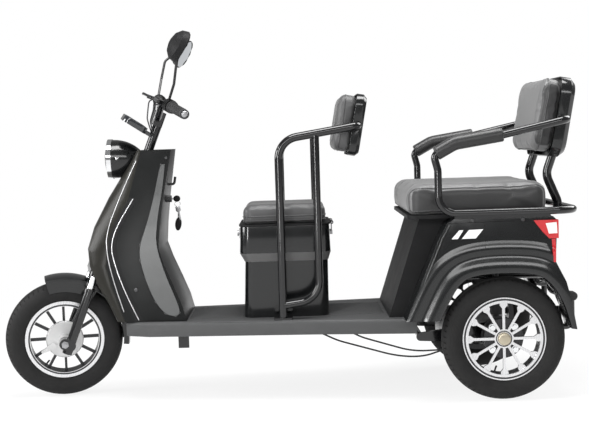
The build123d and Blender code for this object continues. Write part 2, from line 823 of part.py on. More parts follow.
# Backrests: a pad against a moulded shell that a cross tube runs through; columns are lower
# front x and how far it lies under the tube, upper front x and how far it lies over the tube,
# half width, pad thickness, shell depth, corner rounding, cross tube radius and tube height
hoop_radius = 14.0
rail_radius = 12.5
rail_rear = 962.0
rail_low = 629.0
cross_rise = 299.0
cross_height = rail_low + cross_rise
backrest_table = {
    "driver": (166.0, 90.0, 205.0, 120.0, 172.0, 54.0, 36.0, 42.0, hoop_radius, cross_height),
    "passenger": (842.0, 112.0, 892.0, 156.0, 222.0, 58.0, 50.0, 60.0, rail_radius, cross_height),
}
pad_round = 16.0
cross_x = {}
stay_half = 156.0
stay_tube = 15.0
stay_low_x = rail_rear - rail_radius - stay_tube
stay_end = cross_height - rail_radius - 4 * running_gap
backrest_stay = [
    (stay_low_x, rail_low - 23.0),
    (stay_low_x, rail_low + 21.0),
    (896.0, cross_height - 186.0),
    (918.0, cross_height - 124.0),
    (938.5, stay_end),
]
stay_bends = [40.0, 60.0, 120.0]
with BuildPart() as backrest_stays:
    for _, s in sides:
        bent_tube([(x, s * stay_half, z) for x, z in backrest_stay], stay_bends, stay_tube)
backrest_stays.part.label = "backrest_stays"
export_step(backrest_stays.part, "parts/backrest_stays.step")

with BuildPart() as stay_room:
    for _, s in sides:
        bent_tube(
            [(x, s * stay_half, z) for x, z in backrest_stay],
            stay_bends,
            stay_tube + running_gap,
        )

for name, row in backrest_table.items():
    low_x, drop, high_x, rise, half, pad_depth, shell_depth, corner, bar, bar_z = row
    low_z = bar_z - drop
    high_z = bar_z + rise
    slope = Vector(high_x - low_x, 0, high_z - low_z)
    face_plane = Plane(
        origin=((low_x + high_x) / 2, 0, (low_z + high_z) / 2),
        x_dir=(0, -1, 0),
        z_dir=Vector(slope.Z, 0, -slope.X),
    )
    bar_depth = pad_depth + running_gap + skin + bar
    bar_from_low = (bar_z - low_z) * slope.X / slope.Z
    cross_x[name] = low_x + bar_from_low + bar_depth * slope.length / slope.Z
    with BuildPart() as pad:
        with BuildSketch(face_plane):
            RectangleRounded(2 * half, slope.length, corner)
        extrude(amount=pad_depth)
        fillet(pad.faces().sort_by(Axis(face_plane.origin, face_plane.z_dir))[0].edges(), pad_round)
    pad.part.label = f"{name}_backrest_pad"
    export_step(pad.part, f"parts/{name}_backrest_pad.step")
    with BuildPart() as back_shell:
        with BuildSketch(face_plane.offset(pad_depth + running_gap)):
            RectangleRounded(2 * half, slope.length, corner)
        extrude(amount=shell_depth)
        chamfer(
            back_shell.faces().sort_by(Axis(face_plane.origin, face_plane.z_dir))[-1].edges(),
            shell_depth / 3,
        )
        with BuildSketch(face_plane.offset(pad_depth + running_gap)):
            RectangleRounded(2 * (half - skin), slope.length - 2 * skin, corner - skin)
        extrude(amount=shell_depth - skin - shell_depth / 3, mode=Mode.SUBTRACT)
        with BuildSketch(Plane.XZ):
            with Locations((cross_x[name], bar_z)):
                Circle(bar + running_gap)
        extrude(amount=2 * half, both=True, mode=Mode.SUBTRACT)
        add(stay_room.part, mode=Mode.SUBTRACT)
    back_shell.part.label = f"{name}_backrest_shell"
    export_step(back_shell.part, f"parts/{name}_backrest_shell.step")

# Driver's frame: a hoop each side of the box that runs round behind the backrest
hoop_half = 200.0
hoop_front = -17.0
hoop_corner = 886.0
hoop_bend = 74.0
hoop_turn = 30.0
stay_radius = 13.0
stay_x = 109.0
stay_low = 340.0
stay_foot_height = 322.0
stay_bend = 78.0
foot_length = 64.0
foot_width = 44.0
foot_thickness = 6.0
foot_top = deck_top + foot_thickness
hoop_rear = cross_x["driver"]
hoop_rear_height = cross_height
hoop_slope = (hoop_rear_height - hoop_corner) / (hoop_rear - hoop_front)
stay_top = hoop_corner + hoop_slope * (stay_x - hoop_front)
with BuildPart() as driver_frame:
    bent_tube(
        [
            (hoop_front, -hoop_half, foot_top),
            (hoop_front, -hoop_half, hoop_corner),
            (hoop_rear, -hoop_half, hoop_rear_height),
            (hoop_rear, hoop_half, hoop_rear_height),
            (hoop_front, hoop_half, hoop_corner),
            (hoop_front, hoop_half, foot_top),
        ],
        [hoop_bend, hoop_turn, hoop_turn, hoop_bend],
        hoop_radius,
    )
    for _, s in sides:
        bent_tube(
            [
                (stay_x, s * hoop_half, stay_top),
                (stay_x, s * hoop_half, stay_low),
                (hoop_front, s * hoop_half, stay_foot_height),
            ],
            [stay_bend],
            stay_radius,
        )
        with BuildSketch(Plane.XY.offset(deck_top)):
            with Locations((hoop_front, s * hoop_half)):
                RectangleRounded(foot_length, foot_width, foot_thickness)
        extrude(amount=foot_thickness)
driver_frame.part.label = "driver_frame"
export_step(driver_frame.part, "parts/driver_frame.step")

# Rear body: a hollow moulding over both rear wheels; its wheel arch is given from the axle, and
# the flares round the arch are given by their width and how far they stand out
body_wall = 4.0
body_half = 338.0
flare_table = [(52.0, 13.0), (96.0, 6.0)]
body_top = 611.0
body_inner_half = 236.0
body_outline = [
    (390.0, deck_top),
    (504.0, 545.0),
    (532.0, 597.0),
    (556.0, body_top),
    (880.0, body_top),
    (889.0, 602.0),
    (892.0, 560.0),
    (887.0, 461.0),
    (896.0, 441.0),
    (919.0, 394.0),
    (933.0, 335.0),
    (951.0, 236.0),
]
arch_from_axle = [
    (219.0, 32.0),
    (204.0, 89.0),
    (181.0, 146.0),
    (142.0, 196.0),
    (101.0, 217.0),
    (-20.0, 223.0),
    (-108.0, 214.0),
    (-148.0, 189.0),
    (-178.0, 141.0),
    (-212.0, 70.0),
]
middle_height = 440.0
arch_line = [(rear_axle_x + x, tyre_radius + z) for x, z in arch_from_axle]
with BuildPart() as body_form:
    with BuildSketch(Plane.XZ):
        with BuildLine():
            Polyline(*body_outline, *arch_line, close=True)
        make_face()
    extrude(amount=body_half, both=True)

with BuildPart() as rear_body:
    add(body_form.part)
    with BuildSketch(Plane.XZ):
        with BuildLine():
            Polyline(*body_outline, *arch_line, close=True)
        make_face()
        offset(amount=-body_wall, kind=Kind.INTERSECTION)
    extrude(amount=body_half - body_wall, both=True, mode=Mode.SUBTRACT)
    with BuildSketch(Plane.XY):
        with Locations(((deck_rear + body_outline[-1][0]) / 2, 0)):
            Rectangle(body_outline[-1][0] - deck_rear + overrun, 2 * body_inner_half)
    extrude(amount=middle_height, mode=Mode.SUBTRACT)
    for width, proud in flare_table:
        for _, s in sides:
            with BuildSketch(Plane.XZ.offset(-s * (body_half - body_wall / 2))):
                with BuildLine():
                    Polyline(*arch_line, close=True)
                make_face()
                offset(amount=width, kind=Kind.ARC)
                with BuildLine():
                    Polyline(*body_outline, *arch_line, close=True)
                make_face(mode=Mode.INTERSECT)
            extrude(amount=-s * (proud + body_wall / 2))
rear_body.part.label = "rear_body"
export_step(rear_body.part, "parts/rear_body.step")

# Panel that leans forward between the rear body's sides, open at its back
panel_lead = 48.0
panel_half = 232.0
panel_top_x = 452.0
panel_line = [
    (body_outline[0][0] - panel_lead, deck_top),
    (443.0, 585.0),
    (panel_top_x, body_top),
    (body_outline[3][0], body_top),
    body_outline[2],
    body_outline[1],
    body_outline[0],
]
with BuildPart() as front_panel:
    with BuildSketch(Plane.XZ):
        with BuildLine():
            Polyline(*panel_line, close=True)
        make_face()
    extrude(amount=panel_half, both=True)
    with BuildSketch(Plane.XZ):
        with BuildLine():
            Polyline(*panel_line, close=True)
        make_face()
        offset(amount=-skin, kind=Kind.INTERSECTION)
    extrude(amount=panel_half - skin, both=True, mode=Mode.SUBTRACT)
front_panel.part.label = "bench_front_panel"
export_step(front_panel.part, "parts/bench_front_panel.step")

# Tail lamps wrap the rear body's upper corners
lamp_proud = 4.0
lamp_inward = 70.0
tail_line = [
    (815.0, 599.0),
    (893.0 + lamp_proud, 599.0),
    (893.0 + lamp_proud, 538.0),
    (866.0, 538.0),
    (843.0, 562.0),
]
with BuildPart() as tail_lamps:
    for _, s in sides:
        with BuildSketch(Plane.XZ.offset(-s * (body_half + lamp_proud))):
            with BuildLine():
                Polyline(*tail_line, close=True)
            make_face()
        extrude(amount=s * lamp_inward)
    add(body_form.part, mode=Mode.SUBTRACT)
tail_lamps.part.label = "tail_lamps"
export_step(tail_lamps.part, "parts/tail_lamps.step")

# Passenger bench: pan and cushion on the rear body
bench_front = 394.0
bench_rear = 889.0
bench_half = 305.0
bench_round = 46.0
pan_inset = 14.0
pan_height = 12.0
bench_height = 92.0
bench_crown = 26.0
with BuildPart() as bench_pan:
    with BuildSketch(Plane.XY.offset(body_top)):
        with Locations(((bench_front + bench_rear) / 2, 0)):
            RectangleRounded(
                bench_rear - bench_front - 2 * pan_inset,
                2 * (bench_half - pan_inset),
                bench_round - pan_inset,
            )
    extrude(amount=pan_height)
bench_pan.part.label = "bench_pan"
export_step(bench_pan.part, "parts/bench_pan.step")

with BuildPart() as bench_cushion:
    with BuildSketch(Plane.XY.offset(body_top + pan_height + running_gap)):
        with Locations(((bench_front + bench_rear) / 2, 0)):
            RectangleRounded(bench_rear - bench_front, 2 * bench_half, bench_round)
    extrude(amount=bench_height)
    fillet(bench_cushion.faces().sort_by(Axis.Z)[-1].edges(), bench_crown)
bench_cushion.part.label = "bench_cushion"
export_step(bench_cushion.part, "parts/bench_cushion.step")

# Passenger rails: the arms run round behind the backrest, the seat rail round behind the bench
rail_inset = 7.0
rail_half = body_half - rail_inset
rail_front = 506.0
split_rise = 71.0
rail_split = rail_low + split_rise
arm_points = [
    (rail_front, -rail_half, rail_split),
    (rail_front, -rail_half, cross_height - 156.0),
    (493.0, -rail_half, cross_height - 106.0),
    (562.0, -rail_half, cross_height - 70.0),
    (722.0, -rail_half, cross_height - 46.0),
    (cross_x["passenger"], -rail_half, cross_height),
]
arm_bends = [50.0, 22.0, 70.0, 160.0, 32.0]
seat_rail_points = [
    (rail_front, -rail_half, rail_split),
    (rail_front, -rail_half, rail_low),
    (rail_rear, -rail_half, rail_low),
]
seat_rail_bends = [58.0, 70.0]
with BuildPart() as arm_rail:
    bent_tube(arm_points + mirrored(arm_points)[::-1], arm_bends + arm_bends[::-1], rail_radius)
arm_rail.part.label = "passenger_arm_rail"
export_step(arm_rail.part, "parts/passenger_arm_rail.step")

with BuildPart() as seat_rail:
    bent_tube(
        seat_rail_points + mirrored(seat_rail_points)[::-1],
        seat_rail_bends + seat_rail_bends[::-1],
        rail_radius,
    )
seat_rail.part.label = "passenger_seat_rail"
export_step(seat_rail.part, "parts/passenger_seat_rail.step")

# Saddles that carry the seat rail on the rear body
saddle_front = 556.0
saddle_rear = 872.0
saddle_half = 10.0
with BuildPart() as rail_saddles:
    for _, s in sides:
        with BuildSketch(Plane.XY.offset(body_top)):
            with Locations(((saddle_front + saddle_rear) / 2, s * rail_half)):
                Rectangle(saddle_rear - saddle_front, 2 * saddle_half)
        extrude(amount=rail_low - body_top)
        with BuildSketch(Plane.YZ.offset(saddle_front - overrun)):
            with Locations((s * rail_half, rail_low)):
                Circle(rail_radius + running_gap)
        extrude(amount=saddle_rear - saddle_front + 2 * overrun, mode=Mode.SUBTRACT)
rail_saddles.part.label = "rail_saddles"
export_step(rail_saddles.part, "parts/rail_saddles.step")

# Arm pads round the arms, columns are x and how far under the cross tube
arm_pad_radius = 24.0
arm_pad_points = [(500.0, 102.0), (562.0, 68.0), (722.0, 44.0)]
arm_pad_bend = 70.0
with BuildPart() as arm_room:
    bent_tube(
        arm_points + mirrored(arm_points)[::-1],
        arm_bends + arm_bends[::-1],
        rail_radius + running_gap,
    )
with BuildPart() as arm_pads:
    for _, s in sides:
        route = [(x, s * rail_half, cross_height - drop) for x, drop in arm_pad_points]
        bent_tube(route, [arm_pad_bend], arm_pad_radius)
    add(arm_room.part, mode=Mode.SUBTRACT)
arm_pads.part.label = "arm_pads"
export_step(arm_pads.part, "parts/arm_pads.step")

# Chassis: two rails under the deck that kick up over the rear axle, cross tubes, a down tube to
# the steering head, and the battery tray
deck_underside = deck_top - deck_wall
frame_height = deck_underside - frame_radius
frame_front = -480.0
kick_start = 462.0
kick_end = 566.0
frame_high = 398.0
frame_rear = 900.0
kick_bend = 60.0
cross_radius = 11.0
cross_places = [-440.0, -60.0, 250.0]
head_radius = 24.0
head_low = 296.0
head_length = 150.0
down_join = 400.0
down_start = steer_foot + head_up * down_join + head_back * (head_radius - overrun)
down_bends = [60.0, 30.0]
lug_x = -367.0
lug_length = 37.0
lug_thickness = 8.0
lug_low = 176.0
tray_thickness = 3.0
tray_front = 556.0
tray_rear = 872.0
tray_half = 190.0
with BuildPart() as chassis_frame:
    for _, s in sides:
        bent_tube(
            [
                (frame_front, s * frame_half, frame_height),
                (kick_start, s * frame_half, frame_height),
                (kick_end, s * frame_half, frame_high),
                (frame_rear, s * frame_half, frame_high),
            ],
            [kick_bend, kick_bend],
            frame_radius,
        )
    for x in cross_places:
        with BuildSketch(Plane.XZ):
            with Locations((x, frame_height)):
                Circle(cross_radius)
        extrude(amount=frame_half, both=True)
    with BuildSketch(Plane.XZ):
        with Locations((frame_rear - frame_radius, frame_high)):
            Circle(cross_radius)
    extrude(amount=frame_half, both=True)
    bent_tube(
        [
            (down_start.X, 0, down_start.Z),
            (-500.0, 0, 470.0),
            (down_tube_x, 0, frame_height),
            (cross_places[1], 0, frame_height),
        ],
        down_bends,
        down_radius,
    )
    for _, s in sides:
        with BuildSketch(Plane.XY.offset(lug_low)):
            with Locations((lug_x, s * frame_half)):
                Rectangle(lug_length, lug_thickness)
        extrude(amount=frame_height - lug_low)
    with BuildSketch(on(straight, Plane.XY.offset(head_low))):
        Circle(head_radius)
    extrude(amount=head_length)
    with BuildSketch(on(straight, Plane.XY.offset(head_low - overrun))):
        Circle(stem_radius + running_gap)
    extrude(amount=head_length + 2 * overrun, mode=Mode.SUBTRACT)
    with BuildSketch(Plane.XY.offset(frame_high + frame_radius - tray_thickness)):
        with Locations(((tray_front + tray_rear) / 2, 0)):
            Rectangle(tray_rear - tray_front, 2 * tray_half)
    extrude(amount=tray_thickness)
chassis_frame.part.label = "chassis_frame"
export_step(chassis_frame.part, "parts/chassis_frame.step")

# Battery pack on the tray
battery_size = (300.0, 340.0, 170.0)
with BuildPart() as battery_pack:
    with BuildSketch(Plane.XY.offset(frame_high + frame_radius)):
        with Locations(((tray_front + tray_rear) / 2, 0)):
            Rectangle(battery_size[0], battery_size[1])
    extrude(amount=battery_size[2])
battery_pack.part.label = "battery_pack"
export_step(battery_pack.part, "parts/battery_pack.step")

# Rear axle: tube, gearcase and motor, stub shafts and backing plates
axle_tube_radius = 24.0
backing_lip = 4.0
backing_radius = drum_radius + backing_lip
backing_thickness = 6.0
drum_inner_face = rear_track / 2 - rim_table["rear_left"][1] - drum_depth
axle_tube_half = drum_inner_face - backing_thickness - running_gap
case_radius = 66.0
case_half = 42.0
motor_radius = 58.0
motor_length = 120.0
motor_back = 14.0
wheel_nut_radius = 15.0
wheel_nut_length = 10.0
stub_end = rear_track / 2 + rim_table["rear_left"][1] + running_gap + wheel_nut_length
with BuildPart() as rear_axle:
    with BuildSketch(Plane.XZ):
        with Locations((rear_axle_x, tyre_radius)):
            Circle(axle_tube_radius)
    extrude(amount=axle_tube_half, both=True)
    with BuildSketch(Plane.XZ):
        with Locations((rear_axle_x, tyre_radius)):
            Circle(stub_radius)
    extrude(amount=stub_end, both=True)
    for _, s in sides:
        with BuildSketch(Plane.XZ.offset(-s * axle_tube_half)):
            with Locations((rear_axle_x, tyre_radius)):
                Circle(backing_radius)
        extrude(amount=-s * backing_thickness)
        with BuildSketch(Plane.XZ.offset(-s * (stub_end - wheel_nut_length))):
            with Locations((rear_axle_x, tyre_radius)):
                RegularPolygon(wheel_nut_radius, 6)
        extrude(amount=-s * wheel_nut_length)
rear_axle.part.label = "rear_axle"
export_step(rear_axle.part, "parts/rear_axle.step")

with BuildPart() as drive_motor:
    with BuildSketch(Plane.XZ):
        with Locations((rear_axle_x, tyre_radius)):
            Circle(case_radius)
    extrude(amount=case_half, both=True)
    with BuildSketch(Plane.YZ.offset(rear_axle_x)):
        with Locations((0, tyre_radius + motor_back)):
            Circle(motor_radius)
    extrude(amount=-motor_length - case_radius)
    with BuildSketch(Plane.XZ):
        with Locations((rear_axle_x, tyre_radius)):
            Circle(axle_tube_radius)
    extrude(amount=axle_tube_half, both=True, mode=Mode.SUBTRACT)
drive_motor.part.label = "drive_motor"
export_step(drive_motor.part, "parts/drive_motor.step")

# Suspension: a trailing arm and a spring strut each side
arm_half = 168.0
arm_radius = 14.0
arm_wall = 3.0
pivot_x = 452.0
pivot_height = 196.0
strut_half = 168.0
spring_radius = 24.0
damper_radius = 11.0
with BuildPart() as trailing_arms:
    for _, s in sides:
        with BuildSketch(Plane.XZ.offset(-s * arm_half)):
            with Locations((pivot_x, pivot_height)):
                Circle(arm_radius)
            with Locations((rear_axle_x, tyre_radius)):
                Circle(axle_tube_radius + arm_radius)
            make_hull()
            with Locations((rear_axle_x, tyre_radius)):
                Circle(axle_tube_radius, mode=Mode.SUBTRACT)
        extrude(amount=arm_radius / 2, both=True)
    with BuildSketch(Plane.XZ):
        with Locations((pivot_x, pivot_height)):
            Circle(arm_radius - arm_wall)
    extrude(amount=arm_half, both=True)
trailing_arms.part.label = "trailing_arms"
export_step(trailing_arms.part, "parts/trailing_arms.step")

with BuildPart() as rear_struts:
    strut_foot = tyre_radius + axle_tube_radius + arm_radius + running_gap
    strut_top = frame_high + frame_radius - tray_thickness - running_gap
    for _, s in sides:
        with BuildSketch(Plane.XY.offset(strut_foot)):
            with Locations((rear_axle_x, s * strut_half)):
                Circle(damper_radius)
        extrude(amount=strut_top - strut_foot)
        with BuildSketch(Plane.XY.offset(strut_foot + spring_radius)):
            with Locations((rear_axle_x, s * strut_half)):
                Circle(spring_radius)
        extrude(amount=strut_top - strut_foot - 2 * spring_radius)
rear_struts.part.label = "rear_struts"
export_step(rear_struts.part, "parts/rear_struts.step")

# Rear bumper: a cross bar with a loop at each end
bumper_radius = 11.0
bumper_x = 962.0
bumper_height = 332.0
bumper_half = 250.0
loop_half = 222.0
loop_low = 226.0
loop_front = 918.0
loop_high = 296.0
loop_bend = 20.0
hanger_half = 120.0
with BuildPart() as rear_bumper:
    with BuildSketch(Plane.XZ):
        with Locations((bumper_x, bumper_height)):
            Circle(bumper_radius)
    extrude(amount=bumper_half, both=True)
    for _, s in sides:
        bent_tube(
            [
                (bumper_x, s * loop_half, bumper_height),
                (bumper_x, s * loop_half, loop_low),
                (loop_front, s * loop_half, loop_low),
                (loop_front, s * loop_half, loop_high),
            ],
            [loop_bend, loop_bend],
            bumper_radius - running_gap,
        )
        bent_tube(
            [
                (bumper_x, s * hanger_half, bumper_height),
                (frame_rear + bumper_radius, s * hanger_half, bumper_height),
                (frame_rear + bumper_radius + running_gap, s * hanger_half, frame_high),
            ],
            [loop_bend],
            bumper_radius - running_gap,
        )
rear_bumper.part.label = "rear_bumper"
export_step(rear_bumper.part, "parts/rear_bumper.step")

# Cables of the rear brakes: they hang from the left rail and end at the axle tube
cable_radius = 3.0
cable_hold = frame_half - frame_radius - cable_radius - running_gap
cable_low_hold = frame_height - frame_radius - cable_radius - running_gap
cable_end = rear_axle_x - axle_tube_radius - running_gap
cable_routes = [
    [
        (40.0, -cable_hold, frame_height),
        (130.0, -cable_hold, frame_height),
        (253.0, -100.0, 189.0),
        (431.0, -104.0, 134.0),
        (560.0, -130.0, 142.0),
        (cable_end, -150.0, 200.0),
    ],
    [
        (-40.0, -frame_half, cable_low_hold),
        (60.0, -frame_half, cable_low_hold),
        (170.0, -114.0, 182.0),
        (430.0, -112.0, 104.0),
        (560.0, 20.0, 116.0),
        (cable_end, 130.0, 200.0),
    ],
]
cable_bends = [120.0, 200.0, 240.0, 120.0]
with BuildPart() as brake_cables:
    for route in cable_routes:
        bent_tube(route, cable_bends, cable_radius)
brake_cables.part.label = "rear_brake_cables"
export_step(brake_cables.part, "parts/rear_brake_cables.step")

# Mirrors: stems from the switch housings, heads with the glass facing back; columns are side,
# glass x, head turn and the stem's line (x, half spread and height over the bar)
mirror_table = [
    (
        "left",
        -1,
        -44.0,
        8.0,
        [(-13.0, 203.0, 75.0), (-19.0, 236.0, 132.0), (-38.0, 274.0, 196.0), (-64.0, 284.0, 230.0)],
    ),
    (
        "right",
        1,
        34.0,
        24.0,
        [(-13.0, 203.0, 75.0), (-20.0, 240.0, 134.0), (-27.0, 276.0, 204.0), (-2.0, 285.0, 244.0)],
    ),
]
mirror_half_width = 55.0
mirror_half_height = 56.0
mirror_spread = 290.0
mirror_rise = 254.0
mirror_depth = 40.0
mirror_shares = [(0.0, 1.0), (0.5, 0.9), (0.85, 0.62), (1.0, 0.3)]
mirror_glass_thickness = 2.0
mirror_tilt = 8
stem_tube = 4.5
stem_bend = 24.0


def mirror_plane(side, head_x, turn):
    """The plane of a mirror's glass in the steering frame, with z towards its back."""
    middle = (head_x, side * mirror_spread, bar_height + mirror_rise)
    place = Plane(origin=middle, x_dir=(0, -1, 0), z_dir=(-1, 0, 0))
    return on(steer, place.rotated((0, mirror_tilt, -side * turn)))


mirror_heads = []
for name, side, head_x, turn, _ in mirror_table:
    glass_plane = mirror_plane(side, head_x, turn)
    with BuildPart() as mirror_head:
        for depth_share, size_share in mirror_shares:
            with BuildSketch(glass_plane.offset(depth_share * mirror_depth)):
                Ellipse(mirror_half_width * size_share, mirror_half_height * size_share)
        loft(ruled=True)
    mirror_head.part.label = f"mirror_{name}"
    export_step(mirror_head.part, f"parts/mirror_{name}.step")
    mirror_heads.append(mirror_head.part)

with BuildPart() as mirror_glasses:
    for name, side, head_x, turn, _ in mirror_table:
        with BuildSketch(mirror_plane(side, head_x, turn)):
            Ellipse(mirror_half_width - skin, mirror_half_height - skin)
        extrude(amount=-mirror_glass_thickness)
mirror_glasses.part.label = "mirror_glasses"
export_step(mirror_glasses.part, "parts/mirror_glasses.step")

with BuildPart() as mirror_stems:
    for name, side, head_x, turn, line in mirror_table:
        route = [(x, side * spread, bar_height + height) for x, spread, height in line]
        bent_tube(route, [stem_bend, stem_bend], stem_tube, steer)
    for head in mirror_heads:
        add(head, mode=Mode.SUBTRACT)
    add(housings.part, mode=Mode.SUBTRACT)
    add(mirror_glasses.part, mode=Mode.SUBTRACT)
mirror_stems.part.label = "mirror_stems"
export_step(mirror_stems.part, "parts/mirror_stems.step")

# Instrument pod ahead of the bar clamp
pod_length = 92.0
pod_width = 132.0
pod_thickness = 22.0
pod_round = 24.0
pod_x = -84.0
pod_drop = 74.0
pod_tilt = 12
pod_bracket = 14.0
pod_plane = on(steer, Plane.XY.offset(bar_height - pod_drop).rotated((0, pod_tilt, 0)))
with BuildPart() as instrument_pod:
    with BuildSketch(pod_plane):
        with Locations((pod_x, 0)):
            RectangleRounded(pod_length, pod_width, pod_round)
    extrude(amount=pod_thickness)
    with BuildSketch(pod_plane):
        with Locations((pod_x / 2, 0)):
            Rectangle(-pod_x - stem_radius, 2 * pod_bracket)
    extrude(amount=pod_bracket)
    with BuildSketch(on(steer, Plane.XY)):
        Circle(stem_radius + running_gap)
    extrude(amount=stem_top, mode=Mode.SUBTRACT)
instrument_pod.part.label = "instrument_pod"
export_step(instrument_pod.part, "parts/instrument_pod.step")

# Front brake cables: from the lever roots down beside the stem into the cowl, columns are x, half
# spread and height over the bar
front_cable_radius = 2.5
front_cable_line = [
    (-30.0, 180.0, 56.0),
    (-46.0, 132.0, 44.0),
    (-36.0, 72.0, -16.0),
    (-4.0, 30.0, -62.0),
    (0.0, 21.0, -100.0),
    (0.0, 21.0, -240.0),
]
front_cable_bends = [50.0, 60.0, 40.0, 60.0]
with BuildPart() as front_cables:
    for _, side in sides:
        line = [(x, side * y, bar_height + z) for x, y, z in front_cable_line]
        bent_tube(line, front_cable_bends, front_cable_radius, steer)
    add(levers.part, mode=Mode.SUBTRACT)
front_cables.part.label = "front_cables"
export_step(front_cables.part, "parts/front_cables.step")

# Ignition lock on the back of the leg shield
lock_radius = 12.0
lock_height = 690.0
lock_foot = -428.0
lock_length = 24.0
with BuildPart() as ignition_lock:
    with BuildSketch(Plane.YZ.offset(lock_foot)):
        with Locations((0, lock_height)):
            Circle(lock_radius)
    extrude(amount=lock_length)
    add(shield_form.part, mode=Mode.SUBTRACT)
ignition_lock.part.label = "ignition_lock"
export_step(ignition_lock.part, "parts/ignition_lock.step")

# Bag hook on the back of the leg shield
hook_radius = 4.5
hook_foot = (-413.0, 742.0)
hook_out = 20.0
hook_rise = 26.0
hook_bend = 9.0
with BuildPart() as bag_hook:
    bent_tube(
        [
            (hook_foot[0], 0, hook_foot[1]),
            (hook_foot[0] + hook_out, 0, hook_foot[1]),
            (hook_foot[0] + hook_out + hook_radius, 0, hook_foot[1] + hook_rise),
        ],
        [hook_bend],
        hook_radius,
    )
    add(shield_form.part, mode=Mode.SUBTRACT)
bag_hook.part.label = "bag_hook"
export_step(bag_hook.part, "parts/bag_hook.step")
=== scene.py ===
import json
import math

import bmesh
import bpy
import numpy as np
from mathutils import Matrix, Vector
from mathutils.bvhtree import BVHTree

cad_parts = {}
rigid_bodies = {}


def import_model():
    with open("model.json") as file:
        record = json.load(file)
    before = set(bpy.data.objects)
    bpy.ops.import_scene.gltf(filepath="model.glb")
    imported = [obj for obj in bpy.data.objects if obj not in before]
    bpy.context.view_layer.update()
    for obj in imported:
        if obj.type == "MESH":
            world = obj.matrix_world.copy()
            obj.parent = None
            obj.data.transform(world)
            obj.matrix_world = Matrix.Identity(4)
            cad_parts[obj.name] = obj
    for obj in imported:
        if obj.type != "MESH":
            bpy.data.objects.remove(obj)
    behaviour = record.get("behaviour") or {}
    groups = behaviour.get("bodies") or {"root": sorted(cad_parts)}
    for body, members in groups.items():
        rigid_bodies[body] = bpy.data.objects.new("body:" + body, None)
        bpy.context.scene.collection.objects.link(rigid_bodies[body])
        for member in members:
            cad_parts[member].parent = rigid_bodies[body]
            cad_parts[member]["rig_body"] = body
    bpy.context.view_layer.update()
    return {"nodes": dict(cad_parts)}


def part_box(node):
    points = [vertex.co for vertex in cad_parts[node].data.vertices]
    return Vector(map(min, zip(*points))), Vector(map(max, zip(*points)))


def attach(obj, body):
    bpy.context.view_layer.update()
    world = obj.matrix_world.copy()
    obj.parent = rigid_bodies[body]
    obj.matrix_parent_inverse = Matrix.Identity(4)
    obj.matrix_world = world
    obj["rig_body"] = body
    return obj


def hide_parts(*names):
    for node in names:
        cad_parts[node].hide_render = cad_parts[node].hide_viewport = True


# Passenger electric tricycle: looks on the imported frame. Metres, nose to -X, left side to -Y.

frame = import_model()
nodes = frame["nodes"]
stage_scene = bpy.context.scene
stage_scene.view_settings.view_transform = "Standard"
X_AXIS, Y_AXIS, Z_AXIS = Vector((1, 0, 0)), Vector((0, 1, 0)), Vector((0, 0, 1))

# Camera at the place the photograph was taken from
PHOTO_WIDTH, PHOTO_HEIGHT, FOCAL_PIXELS = 589, 441, 1204.6
CAMERA_PLACE = Vector((0.035, -4.284, 0.897))
CAMERA_YAW, CAMERA_PITCH, CAMERA_ROLL = (math.radians(a) for a in (-0.06, 3.98, 1.77))


def camera_axes():
    """Right, up and forward of the camera that took the photograph."""
    forward = Vector((
        math.sin(CAMERA_YAW) * math.cos(CAMERA_PITCH),
        math.cos(CAMERA_YAW) * math.cos(CAMERA_PITCH),
        -math.sin(CAMERA_PITCH),
    ))
    level = Vector((math.cos(CAMERA_YAW), -math.sin(CAMERA_YAW), 0))
    above = level.cross(forward)
    right = level * math.cos(CAMERA_ROLL) - above * math.sin(CAMERA_ROLL)
    up = level * math.sin(CAMERA_ROLL) + above * math.cos(CAMERA_ROLL)
    return right, up, forward


SIGHT_RIGHT, SIGHT_UP, SIGHT_AHEAD = camera_axes()


def linked(name, data):
    """A new object in the scene."""
    made = bpy.data.objects.new(name, data)
    stage_scene.collection.objects.link(made)
    return made


def basis(x_dir, y_dir, z_dir, origin):
    """A frame as a matrix, from its three directions and its origin."""
    return Matrix((
        (x_dir.x, y_dir.x, z_dir.x, origin.x),
        (x_dir.y, y_dir.y, z_dir.y, origin.y),
        (x_dir.z, y_dir.z, z_dir.z, origin.z),
        (0, 0, 0, 1),
    ))


def placed(origin, x_dir, z_dir):
    """A frame as a matrix, from its origin and two of its directions."""
    return basis(x_dir, z_dir.cross(x_dir), z_dir, origin)


lens = bpy.data.cameras.new("photo_camera")
lens.sensor_width = 36.0
lens.lens = FOCAL_PIXELS / PHOTO_WIDTH * lens.sensor_width
viewer = linked("photo_camera", lens)
viewer.matrix_world = basis(SIGHT_RIGHT, SIGHT_UP, -SIGHT_AHEAD, CAMERA_PLACE)
stage_scene.camera = viewer

# Frames of the moving parts
STEER_FOOT = Vector((-0.754005, 0, 0.185397))
STEER_BACK = Vector((0.906923, 0.207912, -0.366421))
STEER_RIGHT = Vector((-0.192772, 0.978148, 0.077885))
STEER_UP = Vector((0.374607, 0, 0.927184))
FRONT_HUB = Vector((-0.803886, -0.011435, 0.20555))
REAR_HUB_X, HUB_Z, REAR_HUB_Y = 0.715, 0.206, 0.295
STEERING = placed(STEER_FOOT, STEER_BACK, STEER_UP)
WHEELS = {
    "front": placed(FRONT_HUB, STEER_BACK, -STEER_RIGHT),
    "rear_left": placed(Vector((REAR_HUB_X, -REAR_HUB_Y, HUB_Z)), Vector((1, 0, 0)), Vector((0, -1, 0))),
    "rear_right": placed(Vector((REAR_HUB_X, REAR_HUB_Y, HUB_Z)), Vector((1, 0, 0)), Vector((0, 1, 0))),
}
WHEEL_BODY = {"front": "front_wheel", "rear_left": "rear_wheel_left", "rear_right": "rear_wheel_right"}


